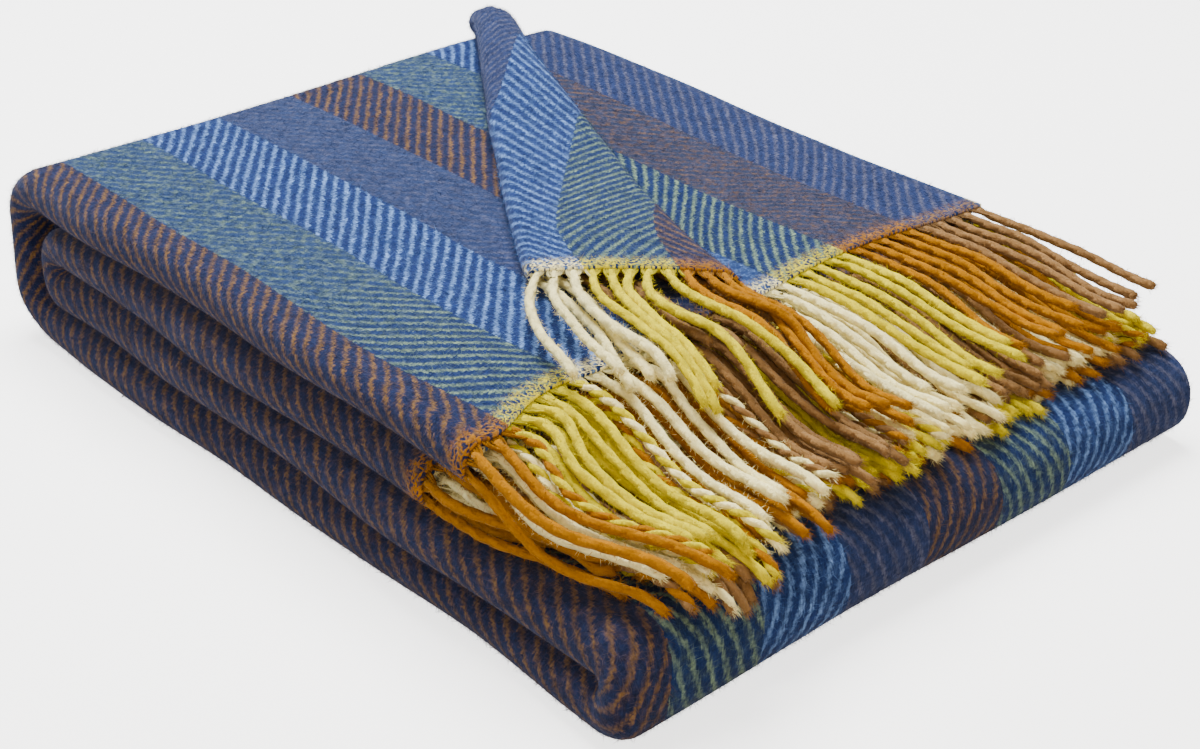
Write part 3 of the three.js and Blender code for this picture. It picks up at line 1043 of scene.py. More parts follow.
@dataclass
class ThrowCloth:
    """The throw's cloth: one sheet, folded across its width and along its length."""

    stack: FoldedStack
    flap: CornerFlap
    face_columns: int = 38
    ease_length: float = 170.0
    ripple: float = 0.35
    ripple_along: Point = (23.0, 37.0, 14.0)
    ripple_across: Point = (41.0, 29.0, 33.0)
    ripple_start: Span = (1.3, 0.4)
    ripple_fine: float = 0.7
    creased_to: Span = (310.0, 345.0)
    nap_to: Span = (395.0, 440.0)
    stripes: float = 29.0
    drawn_back: dict[Layer, tuple[tuple[float, float], ...]] = field(
        default_factory=lambda: {
            Layer.FACE: ((0, -5), (18, 0), (40, 11), (90, 13), (165, 24)),
            Layer.UPPER: ((10, 0), (90, 14), (175, 27), (220, 34), (270, 35), (305, 31), (328, 30)),
            Layer.LOWER: ((25, 0), (110, 20), (200, 26), (328, 26)),
            Layer.BASE: ((25, 0), (110, 20), (200, 26), (328, 26)),
            Layer.HINGE: ((200, 26), (328, 26)),
        }
    )
    creases: tuple[Crease, ...] = (
        Crease(200, 34, 0, 300, 14, -0.9),
        Crease(150, 118, 8, 90, 16, 0.9),
        Crease(280, 92, -14, 70, 13, -0.9),
        Crease(95, 205, -28, 60, 15, -0.8),
        Crease(330, 120, 35, 34, 10, 0.9),
    )

    def drawn(self, layer: Layer, y: Array) -> Array:
        """How far an edge is drawn back from the end of the first run.

        Args:
            layer: The edge's layer.
            y: Places along the edge.

        Returns:
            Millimetres drawn back.
        """
        table = self.drawn_back.get(layer)
        if table is None:
            return np.zeros_like(y)
        return curve_through([row[0] for row in table], [row[1] for row in table], y)

    def section(self) -> tuple[Array, Array, list[Layer]]:
        """The folded section after the face layer: Y, height n and layers.

        Returns:
            Y and height of each point, and the layer of each point but the first.
        """
        s = self.stack
        ys, ns, layers = [np.array([s.fold_y])], [np.array([1.5 * s.layer])], []

        def run(layer: Layer, end: float, level: float, count: int) -> None:
            """Adds a straight run to end.

            Args:
                layer: The run's layer.
                end: Where it ends.
                level: Its height in layers.
                count: How many points it has.
            """
            t = np.arange(1, count + 1) / count
            ys.append(blend(ys[-1][-1], end, t))
            ns.append(np.full(count, level * s.layer))
            layers.extend([layer] * count)

        def turn(
            layer: Layer,
            at: float,
            level: float,
            radius: float,
            start: float,
            sweep: float,
            count: int,
        ) -> None:
            """Adds a turn about a centre.

            Args:
                layer: The turn's layer.
                at: Y of its centre.
                level: Height of its centre in layers.
                radius: Its radius in layers.
                start: Angle where it starts.
                sweep: Degrees that it turns.
                count: How many points it has.
            """
            a = np.radians(start + sweep * np.arange(1, count + 1) / count)
            ys.append(at + radius * s.layer * np.cos(a))
            ns.append(level * s.layer + radius * s.layer * np.sin(a))
            layers.extend([layer] * count)

        turn(Layer.OUTER, s.fold_y, 0.0, 1.5, 90.0, 180.0, 14)
        run(Layer.BASE, s.turn_y, -1.5, 16)
        turn(Layer.HINGE, s.turn_y, -1.0, 0.5, -90.0, 180.0, 8)
        run(Layer.LOWER, s.fold_y, -0.5, 16)
        turn(Layer.INNER, s.fold_y, 0.0, 0.5, 270.0, -180.0, 8)
        run(Layer.UPPER, s.back_y, 0.5, 40)
        return np.concatenate(ys), np.concatenate(ns), layers

    def lay(self) -> None:
        """Works out the sheet's middle surface, its own map and its normals."""
        s = self.stack
        self.u = s.rows()
        ease = 1.0 - smooth(0.0, self.ease_length, self.u)
        fold_u = self.u + ease * self.drawn(Layer.FACE, np.array([s.back_y]))
        flap = self.flap.profile(s.start_x - fold_u, s)
        level = 1.5 * s.layer
        u_parts = [fold_u[:, None] - flap["dx"]]
        y_parts = [flap["start"][:, None] + flap["dy"]]
        n_parts = [level + flap["h"]]
        v_parts = [flap["v"]]
        t = np.arange(1, self.face_columns + 1) / self.face_columns
        face_y = blend(flap["start"][:, None], s.fold_y, t)
        u_parts.append(self.u[:, None] + self.drawn(Layer.FACE, face_y) * ease[:, None])
        y_parts.append(face_y)
        n_parts.append(np.full_like(face_y, level))
        v_parts.append(s.back_y - face_y)
        ys, ns, tags = self.section()
        lengths = np.cumsum(np.hypot(np.diff(ys), np.diff(ns)))
        back = np.array([self.drawn(tag, np.array([y]))[0] for tag, y in zip(tags, ys[1:])])
        wide = np.ones((len(self.u), 1))
        u_parts.append(self.u[:, None] + back * ease[:, None])
        y_parts.append(wide * ys[1:])
        n_parts.append(wide * ns[1:])
        v_parts.append(wide * (s.back_y - s.fold_y + lengths))
        u, y, n, self.v = (np.hstack(p) for p in (u_parts, y_parts, n_parts, v_parts))
        self.layers = self.flap.layers() + [Layer.FACE] * self.face_columns + tags
        self.opened = flap["open"]
        x, z, way_x, way_z = s.path_at(u)
        self.middle = np.stack([x + n * way_x, y, z + n * way_z], axis=-1)
        self.normal = self.normals()
        self.middle += self.normal * self.unevenness()[..., None]
        self.normal = self.normals()
        self.width = float(self.v[0, -1])

    def normals(self) -> Array:
        """Unit normals of the middle surface, to its face side.

        Returns:
            One normal a point.
        """
        along = np.gradient(self.middle, axis=0)
        across = np.gradient(self.middle, axis=1)
        return unit(np.cross(along, across))

    def unevenness(self) -> Array:
        """How far each point of the sheet lies off the even folds, along its normal.

        Returns:
            Millimetres, by row and by column.
        """
        u, v = self.u[:, None] + 0.0 * self.v, self.v
        (a, b, c), (d, e, f) = self.ripple_along, self.ripple_across
        second, third = self.ripple_start
        soft = np.sin(u / a + v / d) + np.sin(u / b - v / e + second)
        soft += self.ripple_fine * np.sin(u / c + np.sin(v / f) + third)
        total = self.ripple * soft / 2.0
        top = 1.0 - smooth(*self.creased_to, u)
        face = np.array([layer is Layer.FACE for layer in self.layers])
        for crease in self.creases:
            turn = math.radians(crease.angle)
            dx, dy = self.middle[..., 0] - crease.x, self.middle[..., 1] - crease.y
            along = dx * math.cos(turn) + dy * math.sin(turn)
            across = dy * math.cos(turn) - dx * math.sin(turn)
            shape = np.exp(-((along / crease.length) ** 2) - (across / crease.width) ** 2)
            total = total + crease.height * shape * top * face
        return total

    def stripe_at(self, v: Array) -> Array:
        """Places across the sheet in stripes, with a whole repeat at each selvedge.

        Args:
            v: Places across the sheet in millimetres.

        Returns:
            The same places in stripes.
        """
        edge = self.stack.back_y
        whole = edge / STRIPE_WIDTH
        knots = [0.0, edge, self.width - edge, self.width]
        return np.interp(v, knots, [0.0, whole, self.stripes - whole, self.stripes])

    def cells(self) -> Array:
        """Corners of the grid's cells, as numbers of the sheet's points.

        Returns:
            Four corners a cell.
        """
        rows, columns = self.v.shape
        number = np.arange(rows * columns).reshape(rows, columns)
        corner = (number[:-1, :-1], number[1:, :-1], number[1:, 1:], number[:-1, 1:])
        return np.stack([c.ravel() for c in corner], axis=1)

    def build(self, material: bpy.types.Material) -> bpy.types.Object:
        """Makes the closed sheet.

        Args:
            material: Its finish.

        Returns:
            The cloth's object.
        """
        self.lay()
        rows, columns = self.v.shape
        half = self.stack.cloth / 2.0
        sides = [self.stack.settle(self.middle + side * half * self.normal) for side in (1, -1)]
        self.front, self.back = sides
        shift = rows * columns
        number = np.arange(shift).reshape(rows, columns)
        quads = self.cells()
        under = quads[:, ::-1] + shift
        rim = np.concatenate([number[0, :], number[1:, -1], number[-1, -2::-1], number[-2::-1, 0]])
        ahead, behind = rim[1:], rim[:-1]
        edges = np.stack([behind, ahead, ahead + shift, behind + shift], axis=1)
        points = np.concatenate([side.reshape(-1, 3) for side in sides])
        along = self.u[:, None] / STRIPE_WIDTH + 0 * self.v
        self.uv = np.stack([along, self.stripe_at(self.v)], axis=-1)
        uv = np.concatenate([self.uv.reshape(-1, 2)] * 2)
        faces = np.concatenate([quads, under, edges])
        piece = make_piece("throw_sheet", points, faces, material, uv)
        self.nap = self.nap_lay()
        give_numbers(piece, NAP, np.concatenate([self.nap.ravel()] * 2))
        return piece

    def nap_lay(self) -> Array:
        """Which of the two twill ways the brushed nap leaves clear, from -1 to 1.

        Returns:
            One number a point.
        """
        top = 1.0 - smooth(*self.nap_to, self.u[:, None])
        nap = np.zeros_like(self.v)
        for k, layer in enumerate(self.layers):
            if layer in (Layer.FLAP, Layer.TUCK):
                nap[:, k] = 1.0 - self.opened
            elif layer is Layer.UPPER:
                nap[:, k] = -1.0
            else:
                nap[:, k] = 1.0
        return nap * top


@dataclass
class LooseNap:
    """Fine fibres that stand off the outside of the folded cloth."""

    count: int = 190_000
    shortest: float = 2.0
    longest: float = 5.0
    thick: float = 0.18
    flattest: float = 3.0
    steepest: float = 40.0
    twist: float = 0.4
    shades: Span = (0.8, 1.5)
    floor: float = 0.1
    off: float = 0.5
    least: float = 0.25
    rays: int = 6
    ray_spread: float = 0.9
    ray_rise: Span = (0.8, 0.05)
    reach: float = 260.0
    seed: int = 5

    def open_share(self, centres: Array, ways: Array, tree: BVHTree) -> Array:
        """How open to the room each place is.

        Args:
            centres: Places just off the cloth.
            ways: Outward ways there.
            tree: The cloth.

        Returns:
            Shares from 0, covered, to 1, open.
        """
        random = np.random.default_rng(self.seed)
        free = np.zeros(len(centres))
        for _ in range(self.rays):
            aim = unit(ways + self.ray_spread * unit(random.normal(size=ways.shape)))
            aim[:, 2] = np.abs(aim[:, 2]) * self.ray_rise[0] + self.ray_rise[1]
            for k, (start, way) in enumerate(zip(centres.tolist(), aim.tolist())):
                if tree.ray_cast(start, way, self.reach)[0] is None:
                    free[k] += 1.0
        return free / self.rays

    def build(self, cloth: ThrowCloth, material: bpy.types.Material) -> bpy.types.Object:
        """Grows the fibres where the cloth is open to the room.

        Args:
            cloth: The cloth that they grow on.
            material: Their finish.

        Returns:
            The nap's object.
        """
        random = np.random.default_rng(self.seed)
        quads = cloth.cells()
        flat = [cloth.front.reshape(-1, 3), cloth.back.reshape(-1, 3)]
        p = np.concatenate([side[quads] for side in flat])
        normal = np.cross(p[:, 2] - p[:, 0], p[:, 3] - p[:, 1])
        normal[len(quads) :] *= -1.0
        area = np.linalg.norm(normal, axis=1) / 2.0
        normal = unit(normal)
        cells = np.concatenate([quads, quads])
        both = np.concatenate([quads, quads[:, ::-1] + len(flat[0])])
        tree = BVHTree.FromPolygons(np.concatenate(flat).tolist(), both.tolist())
        share = self.open_share(p.mean(axis=1) + self.off * normal, normal, tree)
        weight = area * np.where(share > 0.0, self.least + share, 0.0)
        pick = random.choice(len(weight), self.count, p=weight / weight.sum())
        a, b = random.random((2, self.count, 1))
        root = self.between(p[pick], a, b)
        place = self.between(cloth.uv.reshape(-1, 2)[cells[pick]], a, b)
        nap = cloth.nap.ravel()[cells[pick, 0]]
        up = normal[pick]
        warp = unit(p[pick, 1] - p[pick, 0])
        weft = unit(np.cross(up, warp))
        turn = random.uniform(0.0, 2.0 * math.pi, self.count)[:, None]
        rise = self.flattest + (self.steepest - self.flattest) * random.random(self.count) ** 2
        lift = np.radians(rise)[:, None]
        lie = np.cos(turn) * warp + np.sin(turn) * weft
        way = np.cos(lift) * lie + np.sin(lift) * up
        length = random.uniform(self.shortest, self.longest, self.count)[:, None]
        side = up + self.twist * random.normal(size=up.shape)
        broad = unit(np.cross(way, side)) * self.thick / 2.0
        tip = root + way * length
        spikes = np.stack([root - broad, root + broad, tip], axis=1).reshape(-1, 3)
        spikes[:, 2] = np.maximum(spikes[:, 2], self.floor)
        faces = np.arange(3 * self.count).reshape(-1, 3)
        piece = make_piece("throw_nap", spikes, faces, material, np.repeat(place, 3, axis=0))
        give_numbers(piece, NAP, np.repeat(nap, 3))
        give_numbers(piece, SHADE, np.repeat(random.uniform(*self.shades, self.count), 3))
        return piece

    @staticmethod
    def between(corners: Array, a: Array, b: Array) -> Array:
        """Places inside four-cornered cells, at shares a along and b across them.

        Args:
            corners: Values at the four corners of each cell.
            a: Shares along the cells.
            b: Shares across them.

        Returns:
            The values there.
        """
        first = (1 - b) * corners[:, 0] + b * corners[:, 3]
        second = (1 - b) * corners[:, 1] + b * corners[:, 2]
        return (1 - a) * first + a * second


@dataclass(frozen=True)
class StrandLook:
    """A strand twisted from two plies, with a clearer twist where they differ in colour."""

    steps: int = 36
    sides: int = 6
    ply_r: float = 1.78
    ply_off: float = 0.33
    pitch: float = 19.0
    mixed_r: float = 1.4
    mixed_off: float = 0.85
    mixed_pitch: float = 13.0
    root_size: float = 0.72
    root_over: float = 12.0
    root_off: float = 0.9
    tip_close: float = 0.22
    tip_over: float = 2.6
    flare: float = 0.10
    flare_over: Span = (-16.0, -3.0)
    bulk: Span = (0.9, 1.1)
    twist: Span = (0.85, 1.15)
    dip: Span = (0.88, 1.06)


@dataclass(frozen=True)
class WarpLook:
    """Warps that leave the cloth's edge and gather into a strand."""

    count: int = 7
    steps: int = 6
    sides: int = 4
    share: float = 0.94
    reach: Span = (6.0, 10.0)
    stray: float = 0.7
    inside: float = 1.2
    bend: Span = (2.5, 5.0)
    radius: Span = (0.45, 0.75)
    dip: Span = (0.75, 1.05)
    # Share of the yarn colour where a warp leaves the cloth: painted shade there, together with the
    # navy weft mixed in at the edge.
    root_weft_and_shade: float = 0.45
    mapped: float = 10.0


@dataclass(frozen=True)
class FuzzLook:
    """Loose fibres that stand off a strand, and the brush of fibres at its tip."""

    count: int = 720
    radius: float = 0.10
    stand: Span = (0.1, 1.0)
    tangle: float = 0.7
    sunk: float = 0.2
    stray: float = 0.5
    length: Span = (1.0, 3.0)
    tip_count: int = 40
    tip_wide: float = 0.75
    tip_spread: float = 0.25
    tip_length: Span = (1.8, 4.0)


@dataclass
class Fringe:
    """Twisted strands along one end of the cloth, with the warps that gather into them."""

    name: str
    node: str
    at_start: bool
    levels: dict[Layer, float]
    seed: int
    strands: int = 150
    length: float = 100.0
    spread: float = 9.0
    root_gap: float = 2.1
    slot: float = 6.3
    slot_over: float = 38.0
    slot_rounds: int = 400
    pile_step: float = 5.3
    pile_gap: float = 1.2
    strand_r: float = 2.35
    level_play: float = 0.1
    far_lift: float = 0.2
    far_y: Span = (190.0, 320.0)
    crown_share: float = 0.8
    drop_from: float = 366.0
    drop_over: float = 60.0
    open_y: float = 165.0
    open_level: float = 4.2
    lean: float = 0.4
    lean_y: Span = (100.0, 150.0)
    corner_y: Span = (8.0, 60.0)
    sweep: float = 22.0
    shorter: float = 0.12
    slack: float = 0.97
    fan: float = 0.14
    turn_over: float = 45.0
    free_over: Span = (10.0, 60.0)
    wave: float = 1.3
    wave_length: float = 13.0
    sway: float = 0.4
    sway_length: float = 11.0
    drift: float = 4.0
    drift_over: Span = (5.0, 105.0)
    look: StrandLook = StrandLook()
    warp: WarpLook = WarpLook()
    fibre: FuzzLook = FuzzLook()

    def edge(self, cloth: ThrowCloth) -> tuple[Array, Array, Array]:
        """The cloth's end: its points, outward ways and places across.

        Args:
            cloth: The cloth.

        Returns:
            The points, the ways and the places.
        """
        end, before = (0, 1) if self.at_start else (-1, -2)
        at, up = cloth.middle[end], cloth.normal[end]
        out = unit(np.cross(np.gradient(at, axis=0), up))
        inward = np.sum(out * (cloth.middle[before] - at), axis=1) > 0.0
        out[inward] *= -1.0
        return at, out, cloth.v[end]

    @staticmethod
    def along_edge(v: Array, table: Array, at: Array) -> Array:
        """Reads points along the edge by their places across."""
        return np.stack([np.interp(at, v, table[:, k]) for k in range(3)], axis=-1)

    def pushed_apart(self, places: Array, level: Array) -> Array:
        """Places of the strands side by side in each level, so that none touch.

        Args:
            places: Where each strand starts, across the stack.
            level: Each strand's level in the pile.

        Returns:
            Where each strand settles, across the stack.
        """
        slots = places.copy()
        for each in np.unique(level):
            members = np.flatnonzero(level == each)
            order = members[np.argsort(places[members], kind="stable")]
            spots = slots[order]
            for _ in range(self.slot_rounds):
                for k in range(len(spots) - 1):
                    short = self.slot - (spots[k + 1] - spots[k])
                    if short > 0.0:
                        spots[k] -= short / 2.0
                        spots[k + 1] += short / 2.0
            slots[order] = spots
        return slots

    def level_z(self, stack: FoldedStack, level: Array, x: Array, y: Array) -> Array:
        """Height of a level of the pile, which sinks past the front wrap's crown.

        Args:
            stack: The stack that the pile lies on.
            level: Levels in the pile.
            x: Places along the runs.
            y: Places across the stack.

        Returns:
            Heights of the strands' middles.
        """
        radius = stack.first_z + stack.run / 2.0 + self.pile_gap + 2.0 * self.strand_r
        radius = radius + self.pile_step * level
        past = np.clip(x - stack.right_x, 0.0, radius * self.crown_share)
        lift = 1.0 + self.far_lift * smooth(*self.far_y, y)
        base = stack.first_z + stack.run + stack.first_z + self.pile_gap + self.strand_r
        return base + self.pile_step * level * lift - (radius - np.sqrt(radius**2 - past**2))

    def routes(self, cloth: ThrowCloth) -> Array:
        """Middle lines of all strands before the stack settles.

        Args:
            cloth: The cloth that they grow from.

        Returns:
            Points, by strand and by step.
        """
        stack = cloth.stack
        random = np.random.default_rng(self.seed)
        at, out, v = self.edge(cloth)
        self.root_v = (np.arange(self.strands) + 0.5) * cloth.width / self.strands
        root = self.along_edge(v, at, self.root_v)
        way_out = unit(self.along_edge(v, out, self.root_v))
        nearest = np.abs(v[None, :] - self.root_v[:, None]).argmin(axis=1)
        top, second = stack.first_z + 3.0 * stack.run, stack.first_z + 2.0 * stack.run
        level, loose = np.zeros((2, self.strands))
        for j, column in enumerate(nearest):
            layer = cloth.layers[column]
            if layer is Layer.OUTER:
                above = root[j, 2] > top or root[j, 2] < second
                layer = Layer.FACE if above else Layer.BASE
            level[j] = self.levels[layer]
            if self.at_start and layer is Layer.UPPER and root[j, 1] > self.open_y:
                level[j] = self.open_level
            loose[j] = self.at_start and layer in (Layer.FLAP, Layer.TUCK)
        slots = self.pushed_apart(root[:, 1], level)
        corner = (1.0 - loose) * (1.0 - smooth(*self.corner_y, root[:, 1]))
        length = self.lengths() * (1.0 - self.shorter * corner)
        step = length / self.look.steps
        spot = root + way_out * self.root_gap
        start = spot.copy()
        flat_way = unit(way_out * np.array([1.0, 1.0, 0.0]))
        flat_way[:, 1] += random.normal(0.0, self.fan, self.strands)
        level = level + random.uniform(-self.level_play, self.level_play, self.strands)
        aside = self.lean * loose * (1.0 - smooth(*self.lean_y, root[:, 1]))
        ahead = np.stack([np.ones_like(aside), -aside, np.zeros_like(aside)], axis=1)
        wave_at, sway_at = random.uniform(0.0, 2.0 * math.pi, (2, self.strands))
        drift = random.normal(0.0, self.drift, self.strands) + self.sweep * corner
        line = [spot.copy()]
        for i in range(1, self.look.steps + 1):
            turn = smooth(0.0, self.turn_over, (i - 0.5) * step)[:, None]
            spot = spot + unit(blend(flat_way, ahead, turn)) * step[:, None] * self.slack
            s = i * step
            point = spot.copy()
            settled = slots + (spot[:, 1] - start[:, 1]) * loose
            point[:, 1] = blend(spot[:, 1], settled, smooth(0.0, self.slot_over, s))
            sink = smooth(self.drop_from, self.drop_from + self.drop_over, point[:, 0])
            height = self.level_z(stack, level, point[:, 0], point[:, 1])
            point[:, 2] = blend(start[:, 2], height, sink)
            free = smooth(*self.free_over, s)
            bent = self.wave * np.sin(s / self.wave_length + wave_at)
            point[:, 1] += free * (bent + drift * smooth(*self.drift_over, s))
            point[:, 2] += free * self.sway * np.sin(s / self.sway_length + sway_at)
            line.append(point)
        self.run_length = np.arange(self.look.steps + 1)[None, :] * step[:, None]
        return np.stack(line, axis=1)

    def lengths(self) -> Array:
        """Uneven lengths of the strands, by the same scatter as the solid fringe has."""
        scatter = np.sin(np.arange(self.strands) * 12.9898) * 43758.5453
        return self.length + self.spread * (2.0 * (scatter - np.floor(scatter)) - 1.0)

    def dyes(self, cloth: ThrowCloth, v: Array) -> Array:
        """Yarn colours at places across the cloth.

        Args:
            cloth: The cloth.
            v: Places across it.

        Returns:
            One colour a place.
        """
        table = np.array([STRIPES[stripe].yarn for stripe in Stripe])
        which = np.floor(cloth.stripe_at(v)).astype(int) % len(table)
        return table[which]

    @staticmethod
    def ways(lines: Array) -> tuple[Array, Array, Array]:
        """Ways along, across and up at each point of many lines.

        Args:
            lines: Points, by line and by step.

        Returns:
            Unit ways along, across and up.
        """
        tangent = unit(np.gradient(lines, axis=1))
        across = unit(np.cross(tangent, np.array([0.0, 0.0, 1.0])))
        return tangent, across, np.cross(across, tangent)

    @staticmethod
    def tubes(lines: Array, radii: Array, sides: int) -> tuple[Array, Array, Array]:
        """Closed tubes round many lines of the same count of points.

        Args:
            lines: Points, by line and by step.
            radii: Radius at each point.
            sides: Sides of a tube.

        Returns:
            Points, by line, step and side; faces; and outward ways.
        """
        many, steps = lines.shape[:2]
        _, across, up = Fringe.ways(lines)
        angle = 2.0 * math.pi * np.arange(sides) / sides
        ring = np.cos(angle)[:, None] * across[..., None, :]
        ring = ring + np.sin(angle)[:, None] * up[..., None, :]
        points = lines[..., None, :] + radii[..., None, None] * ring
        number = np.arange(steps * sides).reshape(steps, sides)
        following = np.roll(number, -1, axis=1)
        corners = (number[:-1], following[:-1], following[1:], number[1:])
        wall = np.stack(corners, axis=-1).reshape(-1, 4)
        shift = (np.arange(many) * steps * sides)[:, None, None]
        return points, (wall[None] + shift).reshape(-1, 4), ring

    @staticmethod
    def caps(many: int, steps: int, sides: int) -> Array:
        """End faces of the tubes, each a ring's own corners.

        Args:
            many: How many tubes there are.
            steps: Points along a tube.
            sides: Its sides.

        Returns:
            Corners of each end face.
        """
        first = np.arange(sides)[::-1]
        last = (steps - 1) * sides + np.arange(sides)
        shift = (np.arange(many) * steps * sides)[:, None]
        return np.concatenate([first[None] + shift, last[None] + shift])

    def build(self, cloth: ThrowCloth, material: bpy.types.Material) -> bpy.types.Object:
        """Makes the strands and the gathered warps as one piece.

        Args:
            cloth: The cloth that they grow from.
            material: Their finish.

        Returns:
            The fringe's object.
        """
        random = np.random.default_rng(self.seed + 1)
        look, route, s = self.look, self.route, self.run_length
        tangent, across, up = self.ways(route)
        begin = random.uniform(0.0, 2.0 * math.pi, self.strands)[:, None]
        tight = random.uniform(*look.twist, self.strands)[:, None]
        apart = cloth.width / self.strands / 2.0
        places = [self.root_v + (ply - 0.5) * apart for ply in (0, 1)]
        stripes = [np.floor(cloth.stripe_at(place)) for place in places]
        mixed = (stripes[0] != stripes[1])[:, None]
        angle = begin + 2.0 * math.pi * s / np.where(mixed, look.mixed_pitch, look.pitch * tight)
        left = s - s[:, -1:]
        grow = look.root_size + (1.0 - look.root_size) * smooth(0.0, look.root_over, s)
        close = 1.0 - look.tip_close * smooth(-look.tip_over, 0.0, left) ** 2
        flare = 1.0 + look.flare * smooth(*look.flare_over, left)
        bulk = random.uniform(*look.bulk, self.strands)[:, None]
        radius = np.where(mixed, look.mixed_r, look.ply_r) * grow * flare * close * bulk
        away = np.where(mixed, look.mixed_off, look.ply_off)
        away = away * (look.root_off + (1.0 - look.root_off) * grow)
        around = np.arange(look.sides) / look.sides
        ends = self.caps(self.strands, look.steps + 1, look.sides)
        points, faces, dyes, maps = [], [], [], []
        offset = 0
        self.skin: list[tuple[Array, Array, Array]] = []
        self.tips: list[tuple[Array, Array, Array]] = []
        for ply in (0, 1):
            turn = angle + math.pi * ply
            swing = np.cos(turn)[..., None] * across + np.sin(turn)[..., None] * up
            line = route + away[..., None] * swing
            tube, walls, ring = self.tubes(line, radius, look.sides)
            dye = self.dyes(cloth, places[ply])
            dye[:, :3] *= random.uniform(*look.dip, self.strands)[:, None]
            points.append(cloth.stack.settle(tube).reshape(-1, 3))
            faces.append([walls + offset, ends + offset])
            dyes.append(np.repeat(dye, (look.steps + 1) * look.sides, axis=0))
            maps.append(self.yarn_map(s, around))
            self.skin.append((points[-1], ring.reshape(-1, 3), dyes[-1]))
            self.tips.append((cloth.stack.settle(line[:, -1]), tangent[:, -1], dye))
            offset += len(points[-1])
        warp_points, warp_faces, warp_dyes, warp_map = self.gathered_warps(cloth, route)
        points.append(warp_points)
        dyes.append(warp_dyes)
        maps.append(warp_map)
        every = [face.tolist() for pair in faces for face in pair]
        every.append((warp_faces + offset).tolist())
        flat = np.empty(sum(len(part) for part in every), dtype=object)
        flat[:] = [corner for part in every for corner in part]
        piece = make_piece(self.name, np.concatenate(points), flat, material, np.concatenate(maps))
        give_colours(piece, DYE, np.concatenate(dyes))
        return piece

    @staticmethod
    def yarn_map(s: Array, around: Array) -> Array:
        """The yarn's own map: centimetres along it and turns around it."""
        along = np.repeat((s / 10.0)[..., None], len(around), axis=-1)
        return np.stack([along, along * 0.0 + around], axis=-1).reshape(-1, 2)

    def gathered_warps(self, cloth: ThrowCloth, route: Array) -> tuple[Array, Array, Array, Array]:
        """Warps that leave the cloth's edge and gather into each strand.

        Args:
            cloth: The cloth that they leave.
            route: Middle lines of the strands.

        Returns:
            Points, faces, colours and the yarn's own map.
        """
        random = np.random.default_rng(self.seed + 2)
        warp = self.warp
        at, out, v = self.edge(cloth)
        pitch_v = cloth.width / self.strands
        share = (np.arange(warp.count) + 0.5) / warp.count - 0.5
        place = (self.root_v[:, None] + share * pitch_v * warp.share).ravel()
        many = len(place)
        root = self.along_edge(v, at, place)
        way = unit(self.along_edge(v, out, place))
        reach = random.uniform(*warp.reach, many)
        owner = np.repeat(np.arange(self.strands), warp.count)
        low = np.floor(reach / self.run_length[owner, 1]).astype(int)
        last = (route[owner, low] + random.normal(0.0, warp.stray, (many, 3)))[:, None]
        t = np.linspace(0.0, 1.0, warp.steps)[None, :, None]
        first = (root - warp.inside * way)[:, None]
        bend = (root + random.uniform(*warp.bend, (many, 1)) * way)[:, None]
        line = (1 - t) ** 2 * first + 2.0 * t * (1 - t) * bend + t**2 * last
        radii = np.repeat(random.uniform(*warp.radius, many)[:, None], warp.steps, axis=1)
        tube, walls, _ = self.tubes(line, radii, warp.sides)
        dye = self.dyes(cloth, place)
        dye[:, :3] *= random.uniform(*warp.dip, many)[:, None]
        s = np.repeat(np.linspace(0.0, warp.mapped, warp.steps)[None], many, axis=0)
        points = cloth.stack.settle(tube).reshape(-1, 3)
        # Warps darker towards the cloth's edge: painted shade where they leave the cloth, together
        # with the navy weft mixed in there.
        weft_and_shade_at_root = np.linspace(warp.root_weft_and_shade, 1.0, warp.steps)[None, :, None, None]
        dyes = np.repeat(dye[:, None, None] * weft_and_shade_at_root, warp.sides, axis=2).reshape(-1, 4)
        return points, walls, dyes, self.yarn_map(s, np.arange(warp.sides) / warp.sides)

    def fuzz(self, name: str, material: bpy.types.Material) -> bpy.types.Object:
        """Loose fibres that stand off the strands.

        Args:
            name: The piece's name.
            material: Their finish.

        Returns:
            The fuzz's object.
        """
        random = np.random.default_rng(self.seed + 3)
        fibre = self.fibre
        skin, ways, dyes = (np.concatenate(part) for part in zip(*self.skin))
        count = fibre.count * self.strands
        pick = random.choice(len(skin), count)
        stand = ways[pick] * random.uniform(*fibre.stand, (count, 1))
        way = unit(stand + fibre.tangle * random.normal(size=(count, 3)))
        root = skin[pick] - fibre.sunk * ways[pick]
        root = root + random.normal(0.0, fibre.stray, (count, 3))
        length = random.uniform(*fibre.length, (count, 1))
        ends, ahead, end_dyes = (np.concatenate(part) for part in zip(*self.tips))
        brush = np.repeat(np.arange(len(ends)), fibre.tip_count)
        spread = random.normal(size=(len(brush), 3))
        root = np.concatenate([root, ends[brush] + fibre.tip_wide * spread - ahead[brush]])
        way = np.concatenate([way, unit(ahead[brush] + fibre.tip_spread * spread)])
        length = np.concatenate([length, random.uniform(*fibre.tip_length, (len(brush), 1))])
        dyes = np.concatenate([dyes[pick], end_dyes[brush]])
        count = len(root)
        broad = unit(np.cross(way, random.normal(size=(count, 3)))) * fibre.radius
        spikes = np.stack([root - broad, root + broad, root + way * length], axis=1)
        faces = np.arange(3 * count).reshape(-1, 3)
        piece = make_piece(name, spikes.reshape(-1, 3), faces, material)
        give_colours(piece, DYE, np.repeat(dyes, 3, axis=0))
        return piece


